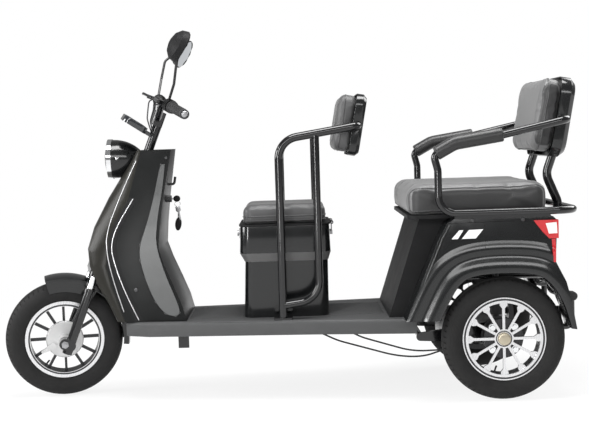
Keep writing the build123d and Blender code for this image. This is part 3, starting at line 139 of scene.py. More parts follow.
# Finishes
CLOUD_SCALE, PEBBLE_SCALE, FOLD_SCALE = 18.0, 420.0, 22.0
WALL_RINGS, WALL_LOW, WALL_HIGH = 1400.0, 0.150, 0.182


def new_finish(name):
    """An empty material with its surface shader joined to the output."""
    finish = bpy.data.materials.new(name)
    finish.use_nodes = True
    tree = finish.node_tree
    tree.nodes.clear()
    shader = tree.nodes.new("ShaderNodeBsdfPrincipled")
    end = tree.nodes.new("ShaderNodeOutputMaterial")
    tree.links.new(shader.outputs[0], end.inputs[0])
    return finish, tree, shader


def feed(tree, node, inputs):
    """Sets a node's inputs to values, or links sockets to them."""
    for key, value in inputs.items():
        if isinstance(value, bpy.types.NodeSocket):
            tree.links.new(value, node.inputs[key])
        else:
            node.inputs[key].default_value = value


def put(tree, kind, inputs=None, **settings):
    """Adds a node with its settings and inputs."""
    made = tree.nodes.new(kind)
    for key, value in settings.items():
        setattr(made, key, value)
    feed(tree, made, inputs or {})
    return made


def rgb(colour):
    """An opaque colour."""
    return (*colour, 1.0)


def object_place(tree):
    """The place on the piece, in metres."""
    return put(tree, "ShaderNodeTexCoord").outputs["Object"]


def noise(tree, place, scale, **more):
    """Soft noise from zero to one."""
    return put(tree, "ShaderNodeTexNoise", {"Vector": place, "Scale": scale, **more}).outputs[0]


def maths(tree, operation, *values):
    """The result of a sum on values or sockets."""
    return put(tree, "ShaderNodeMath", dict(enumerate(values)), operation=operation).outputs[0]


def blend(tree, share, first, second):
    """A colour between two."""
    return put(tree, "ShaderNodeMix", {0: share, 6: first, 7: second}, data_type="RGBA").outputs[2]


def mapped(tree, share, low, high):
    """A share from zero to one spread from low to high."""
    return put(tree, "ShaderNodeMapRange", {0: share, 3: low, 4: high}).outputs[0]


def bumped(tree, height, strength, distance, **under):
    """A bump from a height, on top of another one if it is given."""
    inputs = {"Strength": strength, "Distance": distance, "Height": height, **under}
    return put(tree, "ShaderNodeBump", inputs).outputs[0]


def grained(name, dark, light, rough, relief, metal=0.0, coat=0.0, grain=900.0, depth=0.0004, specular=0.5,
            glow=None):
    """Paint or plastic: two close shades in soft clouds, roughness that wanders, fine grain."""
    finish, tree, shader = new_finish(name)
    place = object_place(tree)
    clouds = noise(tree, place, CLOUD_SCALE, Detail=5.0)
    feed(tree, shader, {
        "Base Color": blend(tree, clouds, rgb(dark), rgb(light)),
        "Roughness": mapped(tree, clouds, *rough),
        "Normal": bumped(tree, noise(tree, place, grain, Detail=3.0), relief, depth),
        "Metallic": metal,
        "Coat Weight": coat,
        "Coat Roughness": 0.08,
        "Specular IOR Level": specular,
        **(glow or {}),
    })
    return finish


def leathered(name, dark, light, rough, relief=0.35, sides=None):
    """Leatherette: pebbled cells, creases and a dull sheen; its side panels may be darker, partly painted shade."""
    finish, tree, shader = new_finish(name)
    place = object_place(tree)
    cells = put(tree, "ShaderNodeTexVoronoi", {"Vector": place, "Scale": PEBBLE_SCALE}, feature="SMOOTH_F1").outputs[0]
    folds = noise(tree, place, FOLD_SCALE, Detail=8.0, Roughness=0.62)
    shades = blend(tree, folds, rgb(dark), rgb(light))
    if sides:
        seam, side_dark, side_light = sides
        across = put(tree, "ShaderNodeSeparateXYZ", {0: place}).outputs[1]
        side_panel_and_shade = maths(tree, "GREATER_THAN", maths(tree, "ABSOLUTE", across), seam)
        shades = blend(tree, side_panel_and_shade, shades, blend(tree, folds, rgb(side_dark), rgb(side_light)))
    creases = bumped(tree, folds, 0.25, 0.002)
    feed(tree, shader, {
        "Base Color": shades,
        "Roughness": mapped(tree, folds, *rough),
        "Normal": bumped(tree, cells, relief, 0.0006, Normal=creases),
        "Sheen Weight": 0.15,
    })
    return finish


def in_frame(tree, place, home):
    """A place's three coordinates in a frame, as sockets."""
    inputs = {"Vector": place, "Location": home.to_translation(), "Rotation": home.to_euler()}
    local = put(tree, "ShaderNodeMapping", inputs, vector_type="TEXTURE").outputs[0]
    return put(tree, "ShaderNodeSeparateXYZ", {0: local}).outputs


def wheel_place(tree, wheel):
    """The place on the piece, the distance from a wheel's axle and the place along it, as sockets."""
    place = object_place(tree)
    local = in_frame(tree, place, WHEELS[wheel])
    flat = put(tree, "ShaderNodeCombineXYZ", {0: local[0], 1: local[1]}).outputs[0]
    radius = put(tree, "ShaderNodeVectorMath", {0: flat}, operation="LENGTH").outputs["Value"]
    return place, radius, local[2]


def band(tree, value, low, high):
    """One inside a range of a value and zero outside it."""
    return maths(tree, "MULTIPLY", maths(tree, "GREATER_THAN", value, low), maths(tree, "LESS_THAN", value, high))


def cast_wheel(name, wheel, face_low, bright_rings):
    """A cast rim: machined silver where it faces out, dark paint in its depths."""
    finish, tree, shader = new_finish(name)
    place, radius, out = wheel_place(tree, wheel)
    rings = 0.0
    for low, high in bright_rings:
        rings = maths(tree, "MAXIMUM", rings, band(tree, radius, low, high))
    bright = maths(tree, "MULTIPLY", maths(tree, "GREATER_THAN", out, face_low), rings)
    turning = put(tree, "ShaderNodeTexWave", {"Vector": place, "Scale": 60.0, "Distortion": 2.0}).outputs[1]
    feed(tree, shader, {
        "Base Color": blend(tree, bright, rgb((0.02, 0.02, 0.022)), rgb((0.78, 0.78, 0.79))),
        "Roughness": mapped(tree, turning, 0.24, 0.4),
        "Metallic": mapped(tree, bright, 0.1, 0.85),
        "Normal": bumped(tree, noise(tree, place, 700.0), 0.15, 0.0003),
    })
    return finish


def tyre_rubber(name, wheel):
    """Tyre rubber: dusty black with fine rings round the side wall."""
    finish, tree, shader = new_finish(name)
    place, radius, _ = wheel_place(tree, wheel)
    dust = noise(tree, place, 35.0, Detail=6.0)
    rings = maths(tree, "SINE", maths(tree, "MULTIPLY", radius, WALL_RINGS))
    ribs = maths(tree, "MULTIPLY", rings, band(tree, radius, WALL_LOW, WALL_HIGH))
    rows = bumped(tree, ribs, 0.35, 0.0008)
    feed(tree, shader, {
        "Base Color": blend(tree, dust, rgb((0.007, 0.007, 0.0075)), rgb((0.02, 0.0195, 0.019))),
        "Roughness": mapped(tree, dust, 0.55, 0.8),
        "Normal": bumped(tree, noise(tree, place, 800.0), 0.2, 0.0004, Normal=rows),
        "Specular IOR Level": 0.25,
    })
    return finish


def clear_lens(name, tint, rough, ribs, more=None):
    """Moulded lens: tinted clear plastic with fine flutes."""
    finish, tree, shader = new_finish(name)
    place = object_place(tree)
    flutes = put(tree, "ShaderNodeTexWave", {"Vector": place, "Scale": ribs}, bands_direction="Y").outputs[1]
    paler = [min(1.0, c * 1.25 + 0.01) for c in tint]
    feed(tree, shader, {
        "Base Color": blend(tree, noise(tree, place, 60.0), rgb(tint), rgb(paler)),
        "Normal": bumped(tree, flutes, 0.25, 0.0008),
        "Roughness": rough,
        "Coat Weight": 0.6,
        **(more or {}),
    })
    return finish


TYRES = {name: tyre_rubber(f"{name}_tyre_rubber", name) for name in WHEELS}
# How far out a rim's face starts to be bright, and the rings of it that are, by radius
FRONT_FACE, FRONT_BRIGHT = 0.0293, [(0.1195, 0.1218), (0.1275, 0.1400)]
REAR_FACE, REAR_BRIGHT = 0.0226, [(0.0, 0.0235), (0.027, 0.1285), (0.1345, 0.2)]
FRONT_RIM = cast_wheel("front_rim_paint", "front", FRONT_FACE, FRONT_BRIGHT)
REAR_RIMS = {
    name: cast_wheel(f"{name}_rim_machined", name, REAR_FACE, REAR_BRIGHT) for name in ("rear_left", "rear_right")
}
GLOSS_TUBE = grained("tube_gloss_black", (0.003, 0.003, 0.0034), (0.006, 0.006, 0.0068), (0.1, 0.17), 0.03, coat=0.4)
BODY_GLOSS = grained("body_gloss_black", (0.004, 0.0045, 0.0048), (0.007, 0.0076, 0.008), (0.14, 0.21), 0.015,
                     coat=0.3)
COWL_OLIVE = grained("cowl_olive_black", (0.014, 0.0135, 0.0115), (0.022, 0.021, 0.018), (0.26, 0.34), 0.07,
                     specular=0.16)
SHIELD_GREY = grained("shield_dark_grey", (0.009, 0.0095, 0.0095), (0.015, 0.0155, 0.0155), (0.28, 0.36), 0.07,
                      specular=0.1)
# Lighter grey for the shield's rear chamfer: painted light, where that face catches the lamps.
LIT_CHAMFER_GREY = grained("shield_chamfer_painted_light", (0.052, 0.054, 0.054), (0.078, 0.08, 0.08), (0.3, 0.42), 0.1)
BAND_GREY = grained("seat_box_band", (0.07, 0.07, 0.07), (0.09, 0.09, 0.09), (0.45, 0.6), 0.2)
INNER_BLACK = grained("moulded_black", (0.007, 0.007, 0.0075), (0.014, 0.014, 0.0145), (0.45, 0.6), 0.3, grain=500.0,
                      specular=0.15)
DECK_GREY = grained("deck_textured_grey", (0.039, 0.04, 0.041), (0.062, 0.063, 0.064), (0.5, 0.68), 0.5, grain=420.0,
                    depth=0.0008)
GRIP_RUBBER = grained("grip_rubber_black", (0.02, 0.02, 0.021), (0.035, 0.035, 0.036), (0.6, 0.78), 0.4, grain=600.0,
                      depth=0.0006)
STEEL_ZINC = grained("zinc_steel", (0.35, 0.35, 0.36), (0.5, 0.5, 0.51), (0.3, 0.46), 0.12, metal=0.9)
DARK_STEEL = grained("dark_steel", (0.05, 0.05, 0.052), (0.09, 0.09, 0.092), (0.34, 0.5), 0.15, metal=0.6)
CAST_ALLOY = grained("cast_alloy", (0.5, 0.5, 0.5), (0.66, 0.66, 0.66), (0.36, 0.52), 0.35, metal=0.55, grain=380.0,
                     depth=0.0006)
CHROME = grained("chrome_plate", (0.86, 0.87, 0.88), (0.92, 0.93, 0.94), (0.05, 0.1), 0.02, metal=1.0)
MIRROR_GLASS = grained("mirror_silver", (0.42, 0.44, 0.46), (0.48, 0.5, 0.52), (0.02, 0.04), 0.0, metal=1.0)
CAP_BRASS = grained("wheel_cap_champagne", (0.45, 0.4, 0.3), (0.58, 0.52, 0.4), (0.28, 0.4), 0.1, metal=0.7)
DECAL_WHITE = grained("stripe_white", (0.82, 0.82, 0.82), (0.9, 0.9, 0.9), (0.34, 0.42), 0.05)
TRIM_SILVER = grained("trim_silver", (0.55, 0.55, 0.56), (0.68, 0.68, 0.69), (0.24, 0.34), 0.04, metal=0.7)
SCREEN_BLACK = grained("display_glass", (0.01, 0.012, 0.014), (0.02, 0.022, 0.026), (0.08, 0.12), 0.0, coat=1.0)
BATTERY_CASE = grained("battery_case_black", (0.016, 0.016, 0.02), (0.03, 0.03, 0.034), (0.5, 0.6), 0.25, grain=400.0)
SEAT_BLACK = leathered("seat_leatherette", (0.034, 0.034, 0.035), (0.056, 0.056, 0.057), (0.34, 0.5))
SEAT_GREY = leathered("seat_top_leatherette", (0.05, 0.05, 0.051), (0.078, 0.078, 0.079), (0.38, 0.52))
# Bench and passenger pad covers: two-tone at a sewn seam, and partly painted light and shade, with top and front
# lighter and sides darker.
SEAT_SIDE_BLACK_AND_SHADE = ((0.017, 0.017, 0.0175), (0.03, 0.03, 0.0305))
SIDE_SEAM = 0.026
SEAT_SEAMS = {node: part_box(node)[1].y - SIDE_SEAM for node in ("bench_cushion", "passenger_backrest_pad")}
TWO_TONE_AND_PAINTED_LIGHT = {
    node: leathered(f"{node}_leatherette", (0.1, 0.1, 0.101), (0.145, 0.145, 0.146), (0.36, 0.5),
                    sides=(seam, *SEAT_SIDE_BLACK_AND_SHADE))
    for node, seam in SEAT_SEAMS.items()
}
ARM_FOAM = leathered("arm_pad_black", (0.010, 0.010, 0.0105), (0.018, 0.018, 0.0185), (0.3, 0.44), relief=0.25)
PIPING = leathered("piping_cord", (0.03, 0.03, 0.031), (0.05, 0.05, 0.051), (0.3, 0.42), relief=0.15)
THREAD = grained("stitch_thread", (0.1, 0.1, 0.1), (0.15, 0.15, 0.15), (0.6, 0.75), 0.2)
# Red lens plastic with a faint painted glow, on the tail lamps and the side reflectors.
TAIL_RED_PAINTED_GLOW = clear_lens("tail_lens_red", (0.42, 0.005, 0.009), 0.14, 90.0,
                      {"Emission Color": (0.5, 0.0, 0.005, 1.0), "Emission Strength": 0.06})
TAIL_WHITE = clear_lens("tail_lens_clear", (0.72, 0.70, 0.68), 0.18, 90.0)
HEAD_LENS = clear_lens("headlight_glass", (0.92, 0.94, 0.95), 0.05, 45.0, {"Transmission Weight": 0.9})
# The reflector bowl glows faintly: a painted glow, light painted on the bowl behind the glass.
REFLECTOR_PAINTED_GLOW = grained("reflector_silver_painted_glow", (0.86, 0.86, 0.86), (0.94, 0.94, 0.94), (0.12, 0.22), 0.1, metal=0.5,
                    grain=120.0, depth=0.002,
                    glow={"Emission Color": (0.95, 0.97, 1.0, 1.0), "Emission Strength": 0.35})

# Making pieces
SOFT_EDGE, MOULDED_EDGE, PADDED_EDGE = (math.radians(a) for a in (38, 28, 80))
PIXEL_STEP, LONGEST_PIXELS, PLATE = 2.5, 4.0, 0.0012


def show(name, mesh, body, finish, edge=SOFT_EDGE):
    """Adds a finished mesh as a piece that rides on a body."""
    mesh.materials.clear()
    mesh.materials.append(finish)
    made = linked(name, mesh)
    mesh.shade_smooth()
    mesh.set_sharp_from_angle(angle=edge)
    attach(made, body)
    return made


def evaluated(helper):
    """The helper's mesh with its modifiers applied; the helper itself is removed."""
    bpy.context.view_layer.update()
    mesh = bpy.data.meshes.new_from_object(helper.evaluated_get(bpy.context.evaluated_depsgraph_get()))
    mesh.transform(helper.matrix_world)
    bpy.data.objects.remove(helper)
    return mesh


def as_form(*meshes):
    """One or more meshes opened for editing, as one."""
    form = bmesh.new()
    for mesh in meshes:
        form.from_mesh(mesh)
    return form


def written(form, mesh=None):
    """The edited form written to its mesh, or to a new one."""
    mesh = mesh or bpy.data.meshes.new("form")
    form.to_mesh(mesh)
    form.free()
    return mesh


def outward(mesh):
    """Merges doubles and turns every face outwards."""
    form = as_form(mesh)
    bmesh.ops.remove_doubles(form, verts=form.verts, dist=2e-6)
    bmesh.ops.recalc_face_normals(form, faces=form.faces)
    return written(form, mesh)


def merged(node):
    """A copy of a CAD node's mesh with its loose triangles joined."""
    form = as_form(nodes[node].data)
    bmesh.ops.remove_doubles(form, verts=form.verts, dist=2e-5)
    return written(form)


def walled(mesh, thickness, offset=-1):
    """A sheet given a thickness."""
    helper = linked("sheet", mesh)
    wall = helper.modifiers.new("wall", "SOLIDIFY")
    wall.thickness, wall.offset = thickness, offset
    return outward(evaluated(helper))


def tube(points, radius, closed=False, sides=3):
    """A round tube along points, as a mesh."""
    line = bpy.data.curves.new("tube", "CURVE")
    line.dimensions = "3D"
    run = line.splines.new("POLY")
    run.points.add(len(points) - 1)
    for spot, point in zip(run.points, points):
        spot.co = (*point, 1.0)
    run.use_cyclic_u = closed
    line.bevel_depth = radius
    line.bevel_resolution = sides
    line.use_fill_caps = not closed
    return outward(evaluated(linked("tube", line)))


def turned(profile, place, steps=48, closed=False):
    """A lathe form: (radius, along) points spun round the z of a frame."""
    form = bmesh.new()
    rings = []
    for step in range(steps):
        angle = 2 * math.pi * step / steps
        rings.append([
            form.verts.new(place @ Vector((r * math.cos(angle), r * math.sin(angle), z))) for r, z in profile
        ])
    count = len(profile)
    for here, there in zip(rings, rings[1:] + rings[:1]):
        for k in range(count if closed else count - 1):
            form.faces.new((here[k], there[k], there[(k + 1) % count], here[(k + 1) % count]))
    mesh = outward(written(form))
    form = as_form(mesh)
    bmesh.ops.dissolve_degenerate(form, edges=form.edges, dist=1e-6)
    return written(form, mesh)


def arc_points(start, middle, end, count):
    """Points of the arc through three points, without its last one."""
    (ax, ay), (bx, by), (cx, cy) = start, middle, end
    d = 2 * (ax * (by - cy) + bx * (cy - ay) + cx * (ay - by))
    ux = ((ax**2 + ay**2) * (by - cy) + (bx**2 + by**2) * (cy - ay) + (cx**2 + cy**2) * (ay - by)) / d
    uy = ((ax**2 + ay**2) * (cx - bx) + (bx**2 + by**2) * (ax - cx) + (cx**2 + cy**2) * (bx - ax)) / d
    radius = math.hypot(ax - ux, ay - uy)
    a0, a1, a2 = (math.atan2(y - uy, x - ux) for x, y in (start, middle, end))
    turn = (a2 - a0) % (2 * math.pi)
    if (a1 - a0) % (2 * math.pi) > turn:
        turn -= 2 * math.pi
    return [
        (ux + radius * math.cos(a0 + turn * k / count), uy + radius * math.sin(a0 + turn * k / count))
        for k in range(count)
    ]


def softened(node, finish, width, flat_half):
    """A moulded piece on its CAD solid's shape with its edges rounded over; its sides may be flattened."""
    form = as_form(merged(node))
    if flat_half:
        for corner in form.verts:
            corner.co.y = max(-flat_half, min(flat_half, corner.co.y))
        bmesh.ops.remove_doubles(form, verts=form.verts, dist=2e-5)
        bmesh.ops.dissolve_degenerate(form, edges=form.edges, dist=1e-5)
    bmesh.ops.dissolve_limit(form, angle_limit=math.radians(1.0), verts=form.verts, edges=form.edges)
    helper = linked("moulding", written(form))
    rounding = helper.modifiers.new("edges", "BEVEL")
    rounding.width, rounding.segments = width, 3
    rounding.limit_method, rounding.angle_limit = "ANGLE", MOULDED_EDGE
    made = show(f"{node}_moulding", evaluated(helper), nodes[node]["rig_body"], finish)
    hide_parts(node)


def skin_of(*names):
    """A search tree over the surfaces of some CAD nodes."""
    corners, faces = [], []
    for name in names:
        mesh = nodes[name].data
        start = len(corners)
        corners += [v.co.copy() for v in mesh.vertices]
        faces += [[start + v for v in p.vertices] for p in mesh.polygons]
    return BVHTree.FromPolygons(corners, faces)


def seen(skin, px, py):
    """Where the line of sight through a pixel of the photograph meets a surface."""
    sight = SIGHT_AHEAD * FOCAL_PIXELS + SIGHT_RIGHT * (px - PHOTO_WIDTH / 2) - SIGHT_UP * (py - PHOTO_HEIGHT / 2)
    spot, normal, _, _ = skin.ray_cast(CAMERA_PLACE, sight.normalized())
    if spot is None:
        return None, None
    return spot, -normal if normal.dot(sight) > 0 else normal


def stepped(line, step):
    """A pixel line resampled at even steps."""
    dots = []
    for (ax, ay), (bx, by) in zip(line, line[1:]):
        count = max(1, round(math.hypot(bx - ax, by - ay) / step))
        dots += [(ax + (bx - ax) * k / count, ay + (by - ay) * k / count) for k in range(count)]
    return dots + [line[-1]]


def rounded_line(line):
    """A pixel line with its corners cut twice, end points kept."""
    for _ in range(2):
        cut = [line[0]]
        for (ax, ay), (bx, by) in zip(line, line[1:]):
            cut += [(ax * 0.75 + bx * 0.25, ay * 0.75 + by * 0.25), (ax * 0.25 + bx * 0.75, ay * 0.25 + by * 0.75)]
        line = cut + [line[-1]]
    return line


def other_side(mesh):
    """The mirror image across the middle plane, facing outwards."""
    twin = mesh.copy()
    twin.transform(Matrix.Scale(-1, 4, Vector((0, 1, 0))))
    twin.flip_normals()
    return twin


def both_sides(name, mesh, finish):
    """A trim piece on the left side of the chassis and its twin on the right."""
    show(f"{name}_right", other_side(mesh), "chassis", finish)
    show(f"{name}_left", mesh, "chassis", finish)


def trim_line(skin, line, radius, lift=0.0):
    """A thin bead that follows a pixel line over a surface."""
    spots = [seen(skin, *dot) for dot in stepped(rounded_line(line), PIXEL_STEP)]
    return tube([spot + normal * lift for spot, normal in spots if spot], radius, sides=2)


def overlay(skin, outline, lift, thickness=PLATE):
    """A thin plate that lies on a surface inside a pixel outline."""
    form = bmesh.new()
    ring = [form.verts.new((x, y, 0)) for x, y in outline]
    edges = [form.edges.new((a, b)) for a, b in zip(ring, ring[1:] + ring[:1])]
    bmesh.ops.triangle_fill(form, use_beauty=True, edges=edges)
    for _ in range(3):
        long_edges = [e for e in form.edges if e.calc_length() > LONGEST_PIXELS]
        if not long_edges:
            break
        bmesh.ops.subdivide_edges(form, edges=long_edges, cuts=1)
        bmesh.ops.triangulate(form, faces=form.faces)
    lost = []
    for corner in form.verts:
        spot, normal = seen(skin, corner.co.x, corner.co.y)
        if spot is None:
            lost.append(corner)
        else:
            corner.co = spot + normal * lift
    bmesh.ops.delete(form, geom=lost, context="VERTS")
    bmesh.ops.recalc_face_normals(form, faces=form.faces)
    form.faces.ensure_lookup_table()
    middle = form.faces[0]
    if middle.normal.dot(CAMERA_PLACE - middle.calc_center_median()) < 0:
        bmesh.ops.reverse_faces(form, faces=form.faces)
    return walled(written(form), thickness)


def ribbon_outline(line, width):
    """The outline of a pixel ribbon of even width."""
    line = stepped(rounded_line(line), 3.0)
    left, right = [], []
    for k, (x, y) in enumerate(line):
        ax, ay = line[max(0, k - 1)]
        bx, by = line[min(len(line) - 1, k + 1)]
        length = math.hypot(bx - ax, by - ay)
        nx, ny = -(by - ay) / length * width / 2, (bx - ax) / length * width / 2
        left.append((x + nx, y + ny))
        right.append((x - nx, y - ny))
    return left + right[::-1]


# Repeated pieces by node trees
def tree_inputs(name, sizes):
    """A new geometry tree with a mesh input, named inputs and a mesh output."""
    tree = bpy.data.node_groups.new(name, "GeometryNodeTree")
    tree.interface.new_socket(name="Geometry", in_out="INPUT", socket_type="NodeSocketGeometry")
    for label, kind, value in sizes:
        made = tree.interface.new_socket(name=label, in_out="INPUT", socket_type=kind)
        if value is not None:
            made.default_value = value
    tree.interface.new_socket(name="Geometry", in_out="OUTPUT", socket_type="NodeSocketGeometry")
    return tree, tree.nodes.new("NodeGroupInput"), tree.nodes.new("NodeGroupOutput")


def finish_tree(tree, source, end, points, instance, **spread):
    """Puts an instance on each point, makes them real, sets the finish and joins the output."""
    inputs = {"Points": points, "Instance": instance, **spread}
    made = put(tree, "GeometryNodeInstanceOnPoints", inputs).outputs[0]
    real = put(tree, "GeometryNodeRealizeInstances", {0: made}).outputs[0]
    coat = put(tree, "GeometryNodeSetMaterial", {0: real, "Material": source.outputs["Finish"]})
    tree.links.new(coat.outputs[0], end.inputs[0])


def nut_ring_tree():
    """Nuts or washers, evenly round a circle."""
    tree, source, end = tree_inputs("nut_ring", [
        ("Count", "NodeSocketInt", 4),
        ("Ring radius", "NodeSocketFloat", 0.05),
        ("Nut radius", "NodeSocketFloat", 0.01),
        ("Nut height", "NodeSocketFloat", 0.008),
        ("Sides", "NodeSocketInt", 6),
        ("Finish", "NodeSocketMaterial", None),
    ])
    sizes = source.outputs
    circle = put(tree, "GeometryNodeMeshCircle", {"Vertices": sizes["Count"], "Radius": sizes["Ring radius"]})
    nut = put(tree, "GeometryNodeMeshCylinder", {
        "Vertices": sizes["Sides"], "Radius": sizes["Nut radius"], "Depth": sizes["Nut height"],
    })
    finish_tree(tree, source, end, circle.outputs[0], nut.outputs["Mesh"])
    return tree


def stitch_tree():
    """Short stitches lying along a line."""
    tree, source, end = tree_inputs("stitch_row", [
        ("Spacing", "NodeSocketFloat", 0.008),
        ("Stitch length", "NodeSocketFloat", 0.005),
        ("Thread radius", "NodeSocketFloat", 0.0006),
        ("Finish", "NodeSocketMaterial", None),
    ])
    sizes = source.outputs
    line = put(tree, "GeometryNodeMeshToCurve", {0: sizes["Geometry"]}).outputs[0]
    marks = put(tree, "GeometryNodeResampleCurve", {0: line, "Length": sizes["Spacing"]}, mode="LENGTH")
    thread = put(tree, "GeometryNodeMeshCylinder", {
        "Vertices": 6, "Radius": sizes["Thread radius"], "Depth": sizes["Stitch length"],
    })
    along = put(tree, "GeometryNodeInputTangent").outputs[0]
    aim = put(tree, "FunctionNodeAlignRotationToVector", {"Vector": along}, axis="Z").outputs[0]
    finish_tree(tree, source, end, marks.outputs[0], thread.outputs["Mesh"], Rotation=aim)
    return tree


def grown(tree, values, place=None, source=None):
    """The plain mesh that a node tree makes with these sizes."""
    helper = linked("growth", source or bpy.data.meshes.new("growth"))
    growth = helper.modifiers.new("growth", "NODES")
    growth.node_group = tree
    sockets = {
        item.name: item.identifier
        for item in tree.interface.items_tree
        if item.item_type == "SOCKET" and item.in_out == "INPUT"
    }
    for label, value in values.items():
        growth[sockets[label]] = value
    mesh = evaluated(helper)
    if place:
        mesh.transform(place)
    return mesh


def chain(points):
    """A closed line of bare edges through points, for a node tree to follow."""
    mesh = bpy.data.meshes.new("line")
    mesh.from_pydata([tuple(p) for p in points], [(k, (k + 1) % len(points)) for k in range(len(points))], [])
    return mesh


NUT_RING = nut_ring_tree()
STITCH_ROW = stitch_tree()


# CAD pieces and their finishes
PIPE_HEIGHT = 0.257


def fork_finish():
    """The fork's upper tubes: chrome between the sliders and the crown, gloss black above."""
    finish, tree, shader = new_finish("fork_chrome_and_black")
    place = object_place(tree)
    tube_part = maths(tree, "LESS_THAN", in_frame(tree, place, STEERING)[2], PIPE_HEIGHT)
    feed(tree, shader, {
        "Base Color": blend(tree, tube_part, rgb((0.01, 0.01, 0.011)), rgb((0.86, 0.87, 0.88))),
        "Metallic": tube_part,
        "Roughness": mapped(tree, noise(tree, place, 30.0), 0.1, 0.2),
    })
    return finish


NODE_FINISH = [
    (FRONT_RIM, "front_rim"),
    (REAR_RIMS["rear_left"], "rear_left_rim"),
    (REAR_RIMS["rear_right"], "rear_right_rim"),
    (fork_finish(), "fork_stanchions"),
    (GLOSS_TUBE, "fork_sliders handlebar brake_levers mirror_stems driver_frame passenger_arm_rail "
                 "passenger_seat_rail backrest_stays chassis_frame trailing_arms rail_saddles rear_bumper bag_hook"),
    (BODY_GLOSS, "headlight_bowl"),
    (INNER_BLACK, "switch_housings mirror_left mirror_right seat_lid_plate bench_front_panel bench_pan"),
    (DARK_STEEL, "rear_left_drum rear_right_drum rear_axle rear_struts ignition_lock"),
    (STEEL_ZINC, "front_axle seat_hinge seat_latch"),
    (CAST_ALLOY, "front_brake_plate drive_motor"),
    (GRIP_RUBBER, "grip_left grip_right rear_brake_cables front_cables"),
    (MIRROR_GLASS, "mirror_glasses"),
    (CHROME, "headlight_ring"),
    (HEAD_LENS, "headlight_lens"),
    (TAIL_RED_PAINTED_GLOW, "tail_lamps"),
    (BATTERY_CASE, "battery_pack"),
]
for finish, names in NODE_FINISH:
    for node in names.split():
        nodes[node].data.materials.clear()
        nodes[node].data.materials.append(finish)

MOULDINGS = [
    ("rear_body", BODY_GLOSS, 0.0045, "body_black"),
    ("front_cowl", COWL_OLIVE, 0.005, "body_black"),
    ("leg_shield", SHIELD_GREY, 0.004, "body_black"),
    ("seat_box", BODY_GLOSS, 0.003, "body_black"),
    ("floor_deck", DECK_GREY, 0.0012, "deck_grey"),
    ("driver_backrest_shell", BODY_GLOSS, 0.006, "body_black"),
    ("passenger_backrest_shell", BODY_GLOSS, 0.008, "body_black"),
    ("front_mudguard", BODY_GLOSS, 0.0008, "body_black"),
    ("instrument_pod", SCREEN_BLACK, 0.005, "inner_black"),
]
BODY_HALF = 0.338
for node, finish, width, slot in MOULDINGS:
    softened(node, finish, width, BODY_HALF if node == "rear_body" else None)

# Wheel arch flares: a rounded section, as width from the arch and stand-out, along the arch
ARCH_LINE = [(0.232, -0.040), (0.226, -0.006), (0.219, 0.032), (0.204, 0.089), (0.181, 0.146), (0.142, 0.196),
             (0.101, 0.217), (-0.020, 0.223), (-0.108, 0.214), (-0.148, 0.189), (-0.178, 0.141), (-0.212, 0.070),
             (-0.236, 0.020), (-0.260, -0.030)]
FLARE_SECTION = [(0.0, -0.004), (0.0, 0.0105), (0.002, 0.0135), (0.006, 0.0155), (0.013, 0.0165), (0.022, 0.0162),
                 (0.032, 0.0144), (0.042, 0.0113), (0.051, 0.0078), (0.058, 0.0058), (0.064, 0.0054),
                 (0.071, 0.0066), (0.079, 0.0072), (0.087, 0.0064), (0.095, 0.0040), (0.102, 0.0016),
                 (0.108, 0.0002), (0.112, -0.0012)]
FLARE_HEART = 0.3
FLARE_CUTS = [
    ((0.503, 0.276), (0.390, 0.276), -1), ((0.390, 0.276), (0.504, 0.545), -1), ((0.919, 0.394), (0.933, 0.335), 1),
    ((0.933, 0.335), (0.951, 0.236), 1), ((0.951, 0.236), (0.934, 0.238), 1), ((0.896, 0.441), (0.919, 0.394), 1),
]


def arch_flare():
    """The left arch flare: its section swept round the arch and trimmed to the body's outline."""
    spine = stepped(rounded_line(ARCH_LINE), 0.012)
    form = bmesh.new()
    rows = []
    for k, (x, z) in enumerate(spine):
        ax, az = spine[max(0, k - 2)]
        bx, bz = spine[min(len(spine) - 1, k + 2)]
        length = math.hypot(bx - ax, bz - az)
        nx, nz = (bz - az) / length, -(bx - ax) / length
        rows.append([
            form.verts.new((REAR_HUB_X + x + nx * wide, -BODY_HALF - proud, HUB_Z + z + nz * wide))
            for wide, proud in FLARE_SECTION
        ])
    for here, there in zip(rows, rows[1:]):
        for k in range(len(FLARE_SECTION) - 1):
            form.faces.new((here[k], there[k], there[k + 1], here[k + 1]))
    heart = Vector((REAR_HUB_X, 0, HUB_Z + FLARE_HEART))
    for (ax, az), (bx, bz), side in FLARE_CUTS:
        near = [f for f in form.faces if (f.calc_center_median().x - REAR_HUB_X) * side > 0]
        across = Vector((bz - az, 0, ax - bx)).normalized()
        if across.dot(heart - Vector((ax, 0, az))) > 0:
            across.negate()
        parts = near + [*dict.fromkeys(e for f in near for e in f.edges)]
        parts += dict.fromkeys(v for f in near for v in f.verts)
        bmesh.ops.bisect_plane(form, geom=parts, plane_co=(ax, 0, az), plane_no=across, clear_outer=True)
    bmesh.ops.recalc_face_normals(form, faces=form.faces)
    if sum(f.normal.y * f.calc_area() for f in form.faces) > 0:
        bmesh.ops.reverse_faces(form, faces=form.faces)
    return walled(written(form), 0.0015)


both_sides("rear_arch_flare", arch_flare(), BODY_GLOSS)

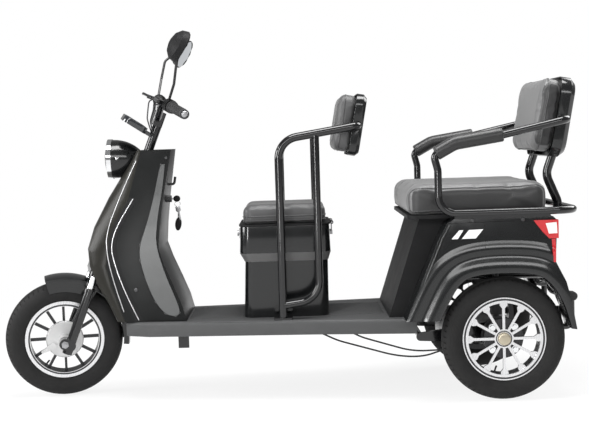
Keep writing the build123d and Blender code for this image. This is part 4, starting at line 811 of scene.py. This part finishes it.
# Tyres with their tread
TYRE_RADIUS, TYRE_HALF, RIM_EDGE, RIM_HALF = 0.206, 0.040, 0.1385, 0.027
SHOULDER_RADIUS, CROWN_HALF, BEAD_RADIUS = 0.197, 0.030, 0.127
WIDEST_RADIUS = RIM_EDGE + 0.42 * (SHOULDER_RADIUS - RIM_EDGE)
LUG_COUNT, LUG_DEPTH = 64, 0.0032
LUG_STEPS = [(0.0, 0.0), (0.03, 1.0), (0.17, 1.0), (0.2, 0.0), (0.47, 0.0), (0.74, 0.0)]
CENTRE_GROOVES = [(0.0075, 0.0105), (0.0165, 0.019)]
LUG_BAND, LUG_SLANT, TREAD_LOW = (0.019, 0.034), 0.9, SHOULDER_RADIUS - 0.004
WALL_STEPS, CROWN_STEPS = 12, 48


def tyre_section():
    """Radii and half widths over the outside of a tyre, bead to bead."""
    wall = arc_points((RIM_EDGE, RIM_HALF), (WIDEST_RADIUS, TYRE_HALF), (SHOULDER_RADIUS, CROWN_HALF), WALL_STEPS)
    crown = arc_points((SHOULDER_RADIUS, CROWN_HALF), (TYRE_RADIUS, 0), (SHOULDER_RADIUS, -CROWN_HALF),
                       CROWN_STEPS)
    other = [(r, -z) for r, z in wall[::-1]]
    return [(BEAD_RADIUS, RIM_HALF)] + wall + crown + [(SHOULDER_RADIUS, -CROWN_HALF)] + other + [
        (BEAD_RADIUS, -RIM_HALF)]


def tread_depth(radius, across, cut):
    """How deep the tread is cut at a place on the tyre."""
    if radius <= TREAD_LOW:
        return 0.0
    lug_cut = cut if LUG_BAND[0] < across < LUG_BAND[1] else 0.0
    groove = any(low <= across <= high for low, high in CENTRE_GROOVES)
    return LUG_DEPTH * max(lug_cut, 1.0 if groove else 0.0)


def tyre_piece(wheel):
    """A tyre with shoulder lugs and centre grooves, in place of its CAD solid."""
    section = tyre_section()
    form = bmesh.new()
    rings = []
    for lug in range(LUG_COUNT):
        for share, cut in LUG_STEPS:
            angle = 2 * math.pi * (lug + share) / LUG_COUNT
            ring = []
            for radius, along in section:
                slanted = angle + LUG_SLANT * abs(along)
                r = radius - tread_depth(radius, abs(along), cut)
                spot = WHEELS[wheel] @ Vector((r * math.cos(slanted), r * math.sin(slanted), along))
                ring.append(form.verts.new(spot))
            rings.append(ring)
    for here, there in zip(rings, rings[1:] + rings[:1]):
        for k in range(len(section)):
            m = (k + 1) % len(section)
            form.faces.new((here[k], there[k], there[m], here[m]))
    made = show(f"{wheel}_tyre_treaded", outward(written(form)), WHEEL_BODY[wheel], TYRES[wheel])
    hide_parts(f"{wheel}_tyre")


for wheel in WHEELS:
    tyre_piece(wheel)

# Hub caps, wheel nuts and valves
CAP_PROFILE = [(0.0176, 0.0244), (0.0212, 0.0244), (0.0212, 0.0352), (0.0198, 0.0372), (0.0160, 0.0386),
               (0.0080, 0.0392), (0.0002, 0.0394), (0.0002, 0.0378), (0.0080, 0.0376), (0.0150, 0.0370),
               (0.0176, 0.0350)]
NUT_CIRCLE, NUT_TURN = 0.053, Matrix.Rotation(math.radians(45), 4, "Z")
# Radius, height, number of sides and place along the axle
NUT, WASHER = (0.0085, 0.008, 6, 0.0200), (0.0118, 0.0016, 24, 0.0155)
VALVE_TURN = Matrix.Rotation(math.radians(255), 4, "Z")
VALVE_LINE, VALVE_RADIUS = [(0.1205, 0.0), (0.106, 0.003), (0.097, 0.008)], 0.0032


def nut_layer(wheel, radius, height, sides, lift):
    """The four nuts or the four washers of a wheel."""
    sizes = {"Count": 4, "Ring radius": NUT_CIRCLE, "Nut radius": radius, "Nut height": height, "Sides": sides,
             "Finish": CHROME}
    return grown(NUT_RING, sizes, WHEELS[wheel] @ NUT_TURN @ Matrix.Translation((0, 0, lift)))


for wheel in REAR_RIMS:
    cap = turned(CAP_PROFILE, WHEELS[wheel], closed=True)
    show(f"{wheel}_hub_cap", cap, WHEEL_BODY[wheel], CAP_BRASS)
    layers = nut_layer(wheel, *NUT), nut_layer(wheel, *WASHER)
    show(f"{wheel}_wheel_nuts", written(as_form(*layers)), WHEEL_BODY[wheel], CHROME)
for wheel in WHEELS:
    stem = [WHEELS[wheel] @ VALVE_TURN @ Vector((r, 0, z)) for r, z in VALVE_LINE]
    show(f"{wheel}_valve_stem", tube(stem, VALVE_RADIUS, sides=2), WHEEL_BODY[wheel], CHROME)

# Cushions and pads
SIMULATED_FRAMES, CORNER_STEPS, LOOP_STEP = 20, 14, 0.02


def stuffed(name, mesh, body, finish, inset, cap, replaced, voxel=0.006, pressure=4.0,
            flat_low=None):
    """A padded piece: its CAD solid drawn in, remeshed, swollen by cloth pressure and smoothed."""
    low = Vector([min(v.co[k] for v in mesh.vertices) for k in range(3)])
    high = Vector([max(v.co[k] for v in mesh.vertices) for k in range(3)])
    middle = (low + high) / 2
    for corner in mesh.vertices:
        for k in range(3):
            half = max(1e-6, (high[k] - low[k]) / 2)
            corner.co[k] = middle[k] + (corner.co[k] - middle[k]) * (half - inset[k]) / half
    helper = linked(name, mesh)
    mesher = helper.modifiers.new("voxels", "REMESH")
    mesher.mode, mesher.voxel_size = "VOXEL", voxel
    mesh = evaluated(helper)
    start = np.array([v.co for v in mesh.vertices])
    helper = linked(name, mesh)
    cloth = helper.modifiers.new("stuffing", "CLOTH")
    cloth.settings.use_pressure = True
    cloth.settings.uniform_pressure_force = pressure
    cloth.settings.effector_weights.gravity = 0.0
    cloth.settings.quality = 4
    cloth.point_cache.frame_start, cloth.point_cache.frame_end = 1, SIMULATED_FRAMES
    for step in range(1, SIMULATED_FRAMES + 1):
        stage_scene.frame_set(step)
    mesh = evaluated(helper)
    stage_scene.frame_set(1)
    moved = np.array([v.co for v in mesh.vertices]) - start
    length = np.linalg.norm(moved, axis=1)
    moved *= np.minimum(1.0, cap / np.maximum(length, 1e-9))[:, None]
    start = start + moved
    if flat_low is not None:
        start[:, 2] = np.maximum(start[:, 2], flat_low)
    mesh.vertices.foreach_set("co", start.ravel())
    mesh.update()
    helper = linked(name, mesh)
    relax = helper.modifiers.new("relax", "SMOOTH")
    relax.factor, relax.iterations = 0.5, 4
    finer = helper.modifiers.new("finer", "SUBSURF")
    finer.levels = finer.render_levels = 1
    made = show(name, evaluated(helper), body, finish, edge=PADDED_EDGE)
    if replaced:
        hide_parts(replaced)
    return made


def hugging(piece, points, lift):
    """Points pulled on to a piece's surface, a little proud of it."""
    tree = BVHTree.FromPolygons([v.co for v in piece.data.vertices], [p.vertices for p in piece.data.polygons])
    made = []
    for point in points:
        spot, normal, _, _ = tree.find_nearest(point)
        made.append(spot + normal * lift)
    return made


def loop_round(half_x, half_y, corner, middle, x_dir, y_dir):
    """A rounded rectangle of points in a plane."""
    points = []
    for sx, sy, start in ((1, 1, 0), (-1, 1, 90), (-1, -1, 180), (1, -1, 270)):
        for k in range(CORNER_STEPS + 1):
            angle = math.radians(start + 90 * k / CORNER_STEPS)
            u = sx * (half_x - corner) + corner * math.cos(angle)
            v = sy * (half_y - corner) + corner * math.sin(angle)
            points.append(middle + x_dir * u + y_dir * v)
    dense = []
    for a, b in zip(points, points[1:] + points[:1]):
        steps = max(1, round((b - a).length / LOOP_STEP))
        dense += [a.lerp(b, k / steps) for k in range(steps)]
    return dense


def piped(name, piece, loop, body, radius=0.0022, lift=0.0004, beside=None):
    """Piping that follows a loop over a padded piece, with a row of stitches beside it where an offset is given."""
    cord = tube(hugging(piece, loop, lift), radius, closed=True)
    show(f"{name}_piping", cord, body, PIPING)
    if beside:
        sizes = {"Spacing": 0.0075, "Stitch length": 0.0048, "Thread radius": 0.0006, "Finish": THREAD}
        row = grown(STITCH_ROW, sizes, source=chain(hugging(piece, [p + beside for p in loop], 0.0003)))
        show(f"{name}_stitches", row, body, THREAD)


def seat_cushion(name, node, body, cap, band_share, corner):
    """A flat-bottomed seat cushion with a piped side band, or with piped seams to its side panels."""
    low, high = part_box(node)
    made = stuffed(name, merged(node), body, TWO_TONE_AND_PAINTED_LIGHT.get(node, SEAT_BLACK), (0.007, 0.007, 0.004),
                   cap, node, flat_low=low.z + 0.0006)
    middle = (low + high) / 2
    half_x, half_y, half_z = (high - low) / 2
    height = low.z + band_share * (high.z - low.z)
    if node in SEAT_SEAMS:
        for side, sign in (("left", -1), ("right", 1)):
            seam_middle = Vector((middle.x, sign * SEAT_SEAMS[node], middle.z))
            seam = loop_round(half_x, half_z, corner, seam_middle, X_AXIS, Z_AXIS)
            piped(f"{name}_{side}", made, seam, body, radius=0.0015, beside=Vector((0, sign * 0.006, 0)))
    else:
        loop = loop_round(half_x, half_y, corner, Vector((middle.x, middle.y, height)), X_AXIS, Y_AXIS)
        piped(name, made, loop, body, beside=Vector((0, 0, -0.0065)))
    hem = loop_round(half_x, half_y, corner, Vector((middle.x, middle.y, low.z + 0.006)), X_AXIS, Y_AXIS)
    piped(f"{name}_hem", made, hem, body, radius=0.0018)


seat_cushion("driver_seat_cushion", "driver_cushion", "seat_lid", 0.010, 0.42, 0.034)
seat_cushion("bench_seat_cushion", "bench_cushion", "chassis", 0.014, 0.46, 0.045)


def back_pad(name, node, lean, cap, corner):
    """An upright pad with piping round its front and, on the driver's, a sewn panel."""
    made = stuffed(name, merged(node), "chassis", TWO_TONE_AND_PAINTED_LIGHT.get(node, SEAT_GREY),
                   (0.004, 0.006, 0.006), cap, node)
    low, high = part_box(node)
    middle = (low + high) / 2
    up_way = Vector((math.sin(lean), 0, math.cos(lean)))
    front = Vector((-math.cos(lean), 0, math.sin(lean)))
    half_y = (high.y - low.y) / 2
    half_z = (high.z - low.z) / 2 / math.cos(lean)
    loop = loop_round(half_y, half_z - 0.008, corner, middle + front * 0.012, Y_AXIS, up_way)
    piped(name, made, loop, "chassis", beside=front * 0.007)
    if node not in TWO_TONE_AND_PAINTED_LIGHT:
        panel = loop_round(half_y - 0.034, half_z - 0.042, corner * 0.6, middle + front * 0.08, Y_AXIS, up_way)
        piped(f"{name}_panel", made, panel, "chassis", radius=0.0012, lift=0.0)


# How far each pad leans back, in millimetres, over the height it does so
DRIVER_SLOPE, PASSENGER_SLOPE = (39, 210), (50, 268)
back_pad("driver_back_pad", "driver_backrest_pad", math.atan2(*DRIVER_SLOPE), 0.008, 0.040)
back_pad("passenger_back_pad", "passenger_backrest_pad", math.atan2(*PASSENGER_SLOPE), 0.010, 0.056)


def arm_rest(side, sign, replaced=None):
    """A foam arm pad round its arm, a little fuller than its CAD solid."""
    form = as_form(merged("arm_pads"))
    bmesh.ops.delete(form, geom=[v for v in form.verts if v.co.y * sign < 0], context="VERTS")
    stuffed(f"arm_pad_{side}", written(form), "chassis", ARM_FOAM, (0.0005, 0.0005, 0.0005), 0.002,
            replaced, voxel=0.004, pressure=2.0)


arm_rest("left", -1, "arm_pads")
arm_rest("right", 1)

# Leg shield and cowl trim
shield_skin = skin_of("leg_shield", "front_cowl")
TRIM_FRONT = [(136, 161), (121, 194), (106, 233), (107, 256), (114, 283), (124, 312)]
SLOT_LINE = [(133, 199), (116, 228), (111, 246), (114, 262), (124, 290), (140, 322)]
LIT_CHAMFER_PATCH = [(165, 164), (162.5, 190), (158, 215), (156, 238), (158, 252), (166, 276), (178, 303), (180.5, 313),
              (176, 317), (165, 314), (155, 302), (146, 282), (139.5, 260), (139.5, 245), (146, 226), (153, 200),
              (158, 174), (160.5, 164)]
both_sides("shield_trim_front", trim_line(shield_skin, TRIM_FRONT, 0.0016), TRIM_SILVER)
# A black plate laid over the slot: painted shade in place of its recess.
both_sides("shield_slot", overlay(shield_skin, ribbon_outline(SLOT_LINE, 7.0), 0.0008), INNER_BLACK)
both_sides("shield_slot_bead", trim_line(shield_skin, SLOT_LINE, 0.0017, lift=0.0016), TRIM_SILVER)
# A lighter grey plate over the shield's chamfer: painted light on that face, with a dark bead round it.
both_sides("shield_lit_chamfer_patch", overlay(shield_skin, LIT_CHAMFER_PATCH, 0.0014, thickness=0.0018), LIT_CHAMFER_GREY)
lit_patch_edge = trim_line(shield_skin, LIT_CHAMFER_PATCH + [LIT_CHAMFER_PATCH[0]], 0.0011, lift=0.001)
both_sides("shield_lit_patch_bead", lit_patch_edge, INNER_BLACK)
SCREW_HEIGHT = 0.003


def screw_at(name, skin, px, py, radius, finish):
    """A round screw with a recess in its head, under a pixel of the photograph."""
    spot, normal = seen(skin, px, py)
    profile = [(0.0002, -0.001), (radius, -0.001), (radius, SCREW_HEIGHT * 0.5), (radius * 0.75, SCREW_HEIGHT),
               (radius * 0.3, SCREW_HEIGHT * 1.05), (radius * 0.25, SCREW_HEIGHT * 0.55),
               (0.0002, SCREW_HEIGHT * 0.5)]
    head = turned(profile, placed(spot, normal.cross(Z_AXIS).normalized(), normal), steps=24)
    both_sides(name, head, finish)


screw_at("shield_screw_low", shield_skin, 136, 290, 0.0065, DARK_STEEL)
screw_at("shield_screw_high", shield_skin, 166, 158, 0.005, DARK_STEEL)

# Headlight: reflector bowl, lamp and side screw
RING_LOW, RING_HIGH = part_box("headlight_ring")
LAMP_MIDDLE = Vector((RING_LOW.x, 0, (RING_LOW.z + RING_HIGH.z) / 2))
LAMP = placed(LAMP_MIDDLE, Z_AXIS, -X_AXIS)
bowl = [(0.0585, -0.012), (0.050, -0.030), (0.038, -0.044), (0.022, -0.053), (0.010, -0.056), (0.0002, -0.0565),
        (0.0002, -0.0585), (0.011, -0.058), (0.024, -0.055), (0.040, -0.046), (0.052, -0.032), (0.0605, -0.012)]
show("headlight_reflector", turned(bowl, LAMP, closed=True), "chassis", REFLECTOR_PAINTED_GLOW)
bulb = [(0.0002, -0.022), (0.006, -0.023), (0.0095, -0.029), (0.0095, -0.038), (0.007, -0.046), (0.007, -0.0555),
        (0.0002, -0.0555)]
show("headlight_bulb", turned(bulb, LAMP, steps=24), "chassis", DECAL_WHITE)
screw_at("headlight_screw", skin_of("headlight_bowl"), 117, 158.5, 0.0058, CHROME)

# Rear body: stripes, seams, ribs and lamps
body_skin = skin_of("rear_body")
for name, outline in (
    ("rear_stripe_short", [(451.5, 239.3), (459.3, 230.3), (463.4, 230.2), (457.8, 239.1)]),
    ("rear_stripe_long", [(461.8, 238.9), (469.0, 230.0), (483.2, 229.2), (475.8, 238.4)]),
):
    both_sides(name, overlay(body_skin, outline, 0.0007), DECAL_WHITE)
EDGE_RIB = [Vector((0.405, -BODY_HALF, 0.286)), Vector((0.5165, -BODY_HALF, 0.549)),
            Vector((0.540, -BODY_HALF, 0.592))]
both_sides("rear_edge_rib", tube(EDGE_RIB, 0.0024), BODY_GLOSS)
for name, line, radius in (
    ("rear_body_seam", [(484.5, 224), (484, 237), (485.5, 249)], 0.0008),
    ("rear_body_top_seam", [(434, 226), (447, 223.5), (500, 221.5), (530, 220.5)], 0.0009),
):
    both_sides(name, trim_line(body_skin, line, radius), INNER_BLACK)
CLEAR_LAMP = [(545.6, 223.2), (556.6, 222.0), (557.4, 233.0), (549.0, 233.6)]
lamp_cover = overlay(skin_of("tail_lamps", "rear_body"), CLEAR_LAMP, 0.0012, thickness=0.0016)
both_sides("tail_lamp_clear", lamp_cover, TAIL_WHITE)
RED_STRIP = [(551.8, 239), (555.6, 238.5), (556.2, 252), (556.2, 262), (553.8, 262), (552.8, 251)]
both_sides("rear_side_reflector", overlay(body_skin, RED_STRIP, 0.0009, thickness=0.0014), TAIL_RED_PAINTED_GLOW)
rail_skin = skin_of("rail_saddles", "rear_body", "bench_pan")
screw_at("saddle_bolt_front", rail_skin, 472.5, 220.5, 0.006, DARK_STEEL)
screw_at("saddle_bolt_rear", rail_skin, 523, 219.5, 0.006, DARK_STEEL)

# Seat box band
BAND_LOW, BAND_HIGH, BOX_CENTRE_X = 0.471, 0.500, -0.006


def box_band():
    """The dull grey band round the seat box, on its waist."""
    form = as_form(merged("seat_box"))
    for height, keep_up in ((BAND_LOW, False), (BAND_HIGH, True)):
        bmesh.ops.bisect_plane(form, geom=form.verts[:] + form.edges[:] + form.faces[:],
                               plane_co=(0, 0, height), plane_no=(0, 0, 1), clear_inner=not keep_up,
                               clear_outer=keep_up)
    inner = []
    for face in form.faces:
        middle = face.calc_center_median()
        if face.normal.dot(Vector((middle.x - BOX_CENTRE_X, middle.y, 0))) <= 0:
            inner.append(face)
    bmesh.ops.delete(form, geom=inner, context="FACES")
    show("seat_box_band", walled(written(form), 0.0016, 0.9), "chassis", BAND_GREY)


box_band()

# Handlebar details
GRIP_RINGS = 15


def ring_profile(radius, along):
    """The section of a raised ring round a grip."""
    return [(radius - 0.0006, along - 0.0018), (radius + 0.0008, along - 0.0012), (radius + 0.0008, along + 0.0012),
            (radius - 0.0006, along + 0.0018)]


def grip_ribs(side, sign):
    """Raised rings round a grip, a flange at its root and a plug in its end."""
    spots = np.array([v.co for v in nodes[f"grip_{side}"].data.vertices])
    centre = spots.mean(0)
    axis = np.linalg.svd(spots - centre)[2][0]
    axis = Vector(axis if axis[1] * sign > 0 else -axis)
    middle = Vector(centre)
    arms = [Vector(s) - middle for s in spots]
    reach = max(arm.dot(axis) for arm in arms)
    back = min(arm.dot(axis) for arm in arms)
    radius = float(np.percentile([(arm - axis * arm.dot(axis)).length for arm in arms], 90))
    place = placed(middle, axis.cross(Z_AXIS).normalized(), axis)
    rings = [
        turned(ring_profile(radius, back + 0.014 + (reach - back - 0.03) * k / (GRIP_RINGS - 1)), place, steps=28,
               closed=True)
        for k in range(GRIP_RINGS)
    ]
    flange = turned([(radius - 0.001, back), (radius + 0.0055, back), (radius + 0.0055, back + 0.0035),
                     (radius - 0.001, back + 0.006)], place, steps=32, closed=True)
    show(f"grip_{side}_ribs", written(as_form(*rings, flange)), "steering", GRIP_RUBBER)
    plug = turned([(0.0002, reach + 0.005), (0.006, reach + 0.0048), (0.010, reach + 0.003),
                   (0.0115, reach + 0.0002), (0.0002, reach + 0.0002)], place, steps=28)
    show(f"bar_end_{side}", plug, "steering", STEEL_ZINC)


grip_ribs("left", -1)
grip_ribs("right", 1)
RIM_STEPS = 24


def mirror_rim(side, sign):
    """A dark bead round the edge of a mirror's glass."""
    spots = np.array([v.co for v in nodes["mirror_glasses"].data.vertices if v.co.y * sign > 0])
    centre = spots.mean(0)
    across, up, _ = np.linalg.svd(spots - centre)[2]
    flat = np.stack([(spots - centre) @ across, (spots - centre) @ up], 1)
    turns = np.arctan2(flat[:, 1], flat[:, 0])
    reach = np.linalg.norm(flat, axis=1)
    line = []
    for k in range(RIM_STEPS):
        start = -math.pi + 2 * math.pi * k / RIM_STEPS
        here = (turns >= start) & (turns < start + 2 * math.pi / RIM_STEPS)
        if here.any():
            line.append(Vector(spots[here][reach[here].argmax()]))
    show(f"mirror_{side}_rim", tube(line, 0.0022, closed=True, sides=2), "steering", INNER_BLACK)


mirror_rim("left", -1)
mirror_rim("right", 1)

# Keys hanging from the ignition lock
LOCK_LOW, LOCK_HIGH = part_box("ignition_lock")
lock_face = Vector((LOCK_HIGH.x, 0, (LOCK_LOW.z + LOCK_HIGH.z) / 2))


def flat_plate(outline, place, thickness):
    """A thin plate with an outline in a frame's own plane, its rim rounded."""
    form = bmesh.new()
    ring = [form.verts.new((x, y, -thickness / 2)) for x, y in outline]
    face = form.faces.new(ring)
    lifted = bmesh.ops.extrude_face_region(form, geom=[face])
    bmesh.ops.translate(form, verts=[g for g in lifted["geom"] if isinstance(g, bmesh.types.BMVert)],
                        vec=(0, 0, thickness))
    bmesh.ops.recalc_face_normals(form, faces=form.faces)
    bmesh.ops.transform(form, matrix=place, verts=form.verts)
    helper = linked("plate", written(form))
    rounding = helper.modifiers.new("rim", "BEVEL")
    rounding.width, rounding.segments = thickness * 0.3, 2
    return evaluated(helper)


def oval(half_x, half_y):
    """An outline of 28 points."""
    turns = [2 * math.pi * k / 28 for k in range(28)]
    return [(half_x * math.cos(turn), half_y * math.sin(turn)) for turn in turns]


key_plane = placed(lock_face + Vector((0.017, 0, 0)), X_AXIS, -Y_AXIS)
BLADE = [(-0.0172, -0.003), (-0.009, -0.003), (-0.009, 0.003), (-0.0172, 0.003)]
key_head = flat_plate(oval(0.0125, 0.0115), key_plane @ Matrix.Translation((0.001, 0, 0)), 0.006)
show("key_head", key_head, "chassis", INNER_BLACK)
show("key_blade", flat_plate(BLADE, key_plane, 0.002), "chassis", STEEL_ZINC)
RING_RADIUS = 0.0095
ring_middle = lock_face + Vector((0.020, 0, -0.019))
ring_points = [ring_middle + Vector((RING_RADIUS * math.cos(a), 0.0035 * math.cos(a), RING_RADIUS * math.sin(a)))
               for a in np.linspace(0, 2 * math.pi, 28)[:-1]]
show("key_ring", tube(ring_points, 0.0009, closed=True), "chassis", CHROME)
ring_foot = ring_middle + Vector((0, 0, -RING_RADIUS))
strap = [ring_foot, ring_foot + Vector((0.001, 0.003, -0.022)), ring_foot + Vector((0.0, 0.004, -0.042))]
show("key_strap", tube(strap, 0.0015, sides=2), "chassis", INNER_BLACK)


def hung(offset, tilt):
    """The frame of a plate that hangs from the key ring, in the vehicle's long plane."""
    return placed(ring_foot + Vector(offset), X_AXIS, -Y_AXIS) @ Matrix.Rotation(math.radians(tilt), 4, "Z")


SPARE_KEY = [(-0.0085, 0.0), (-0.0085, -0.016), (-0.003, -0.021), (-0.003, -0.046), (0.0, -0.050), (0.003, -0.046),
             (0.003, -0.021), (0.0085, -0.016), (0.0085, 0.0)]
fob = flat_plate(oval(0.0115, 0.024), hung((0, 0.004, -0.062), -7), 0.005)
show("key_fob", fob, "chassis", INNER_BLACK)
spare = flat_plate(SPARE_KEY, hung((0, -0.004, 0.001), 10), 0.002)
show("key_spare", spare, "chassis", STEEL_ZINC)

# Display face on the instrument pod
POD_TILT, POD_HEIGHT, FACE_HEIGHT = Matrix.Rotation(math.radians(12), 4, "Y"), 0.776, 0.0224
pod_place = STEERING @ Matrix.Translation((0, 0, POD_HEIGHT)) @ POD_TILT
FACE_MIDDLE, FACE_HALF_X, FACE_HALF_Y = -0.084, 0.036, 0.055
face_outline = [
    (FACE_MIDDLE + FACE_HALF_X * sx * (1 if abs(sy) < 1 else 0.8), FACE_HALF_Y * sy)
    for sx, sy in ((1, -0.8), (1, 0.8), (0.8, 1), (-0.8, 1), (-1, 0.8), (-1, -0.8), (-0.8, -1), (0.8, -1))
]
screen = flat_plate(face_outline, pod_place @ Matrix.Translation((0, 0, FACE_HEIGHT)), 0.0016)
show("display_glass", screen, "steering", SCREEN_BLACK)

# Rubber caps on the rear bumper's ends
BUMPER_END = (0.962, 0.250, 0.332)
BUMPER_CAP = [(0.0113, -0.030), (0.0145, -0.030), (0.0150, -0.027), (0.0150, 0.002), (0.0135, 0.0055),
              (0.0002, 0.0065), (0.0002, 0.0012), (0.0113, 0.0012)]
for side, sign in (("left", -1), ("right", 1)):
    x, y, z = BUMPER_END
    place = placed(Vector((x, sign * y, z)), X_AXIS, Vector((0, sign, 0)))
    show(f"bumper_cap_{side}", turned(BUMPER_CAP, place, steps=32, closed=True), "chassis", GRIP_RUBBER)

# Floor and light
FLOOR_HALF = 14.0
AMBIENT = 0.26
# Each lamp: name, place, aim, width, height and power
LAMPS = [
    ("strip_left", (-2.3, -4.8, 1.1), (0, 0, 0.6), 0.4, 2.0, 70.0),
    ("strip_front_high", (0.2, -5.4, 2.6), (0, 0, 0.6), 6.5, 0.9, 105.0),
    ("softbox_left", (-4.2, -0.8, 2.1), (0, 0, 0.6), 2.0, 2.0, 150.0),
    ("softbox_top", (0.2, -0.5, 3.4), (0, 0, 0.4), 3.0, 1.2, 125.0),
    ("softbox_rear_right", (2.8, 1.6, 2.8), (0.2, 0, 0.5), 2.0, 2.0, 60.0),
]


def ray_kinds(tree, first, *others):
    """One for rays of these kinds and zero for the others."""
    path = put(tree, "ShaderNodeLightPath").outputs
    found = path[first]
    for kind in others:
        found = maths(tree, "MAXIMUM", found, path[kind])
    return found


def mixed_out(tree, share, first, second, output):
    """Joins a mix of two shaders to the output."""
    mixed = put(tree, "ShaderNodeMixShader", {0: share, 1: first.outputs[0], 2: second.outputs[0]})
    put(tree, output, {0: mixed.outputs[0]})


def studio():
    """A pale floor that fades to white, a white surround and soft lamps."""
    floor_mesh = bpy.data.meshes.new("studio_floor")
    corners = [(-FLOOR_HALF, -FLOOR_HALF, 0), (FLOOR_HALF, -FLOOR_HALF, 0), (FLOOR_HALF, FLOOR_HALF, 0),
               (-FLOOR_HALF, FLOOR_HALF, 0)]
    floor_mesh.from_pydata(corners, [], [(0, 1, 2, 3)])
    floor = linked("studio_floor", floor_mesh)
    pale = bpy.data.materials.new("studio_floor_pale")
    pale.use_nodes = True
    tree = pale.node_tree
    tree.nodes.clear()
    reach = put(tree, "ShaderNodeVectorMath", {0: object_place(tree)}, operation="LENGTH").outputs["Value"]
    far = put(tree, "ShaderNodeMapRange", {0: reach, 1: 0.9, 2: 2.6, 3: 0.84, 4: 1.0},
              interpolation_type="SMOOTHSTEP").outputs[0]
    direct = ray_kinds(tree, "Is Camera Ray", "Is Glossy Ray", "Is Transmission Ray")
    matte = put(tree, "ShaderNodeBsdfDiffuse", {"Color": (0.94, 0.94, 0.94, 1.0)})
    glow = put(tree, "ShaderNodeEmission", {"Color": (1, 1, 1, 1), "Strength": 1.0})
    mixed_out(tree, maths(tree, "MULTIPLY", far, direct), matte, glow, "ShaderNodeOutputMaterial")
    floor_mesh.materials.append(pale)

    surround = bpy.data.worlds.new("studio_surround")
    stage_scene.world = surround
    surround.use_nodes = True
    tree = surround.node_tree
    tree.nodes.clear()
    around = put(tree, "ShaderNodeBackground", {"Color": (1, 1, 1, 1), "Strength": AMBIENT})
    shown = put(tree, "ShaderNodeBackground", {"Color": (1, 1, 1, 1), "Strength": 1.0})
    mixed_out(tree, ray_kinds(tree, "Is Camera Ray", "Is Transmission Ray"), around, shown, "ShaderNodeOutputWorld")

    for name, spot, aim, wide, high, power in LAMPS:
        lamp = bpy.data.lights.new(name, "AREA")
        lamp.shape, lamp.size, lamp.size_y, lamp.energy = "RECTANGLE", wide, high, power
        holder = linked(name, lamp)
        holder.location = spot
        holder.rotation_euler = (Vector(aim) - Vector(spot)).to_track_quat("-Z", "Y").to_euler()


studio()
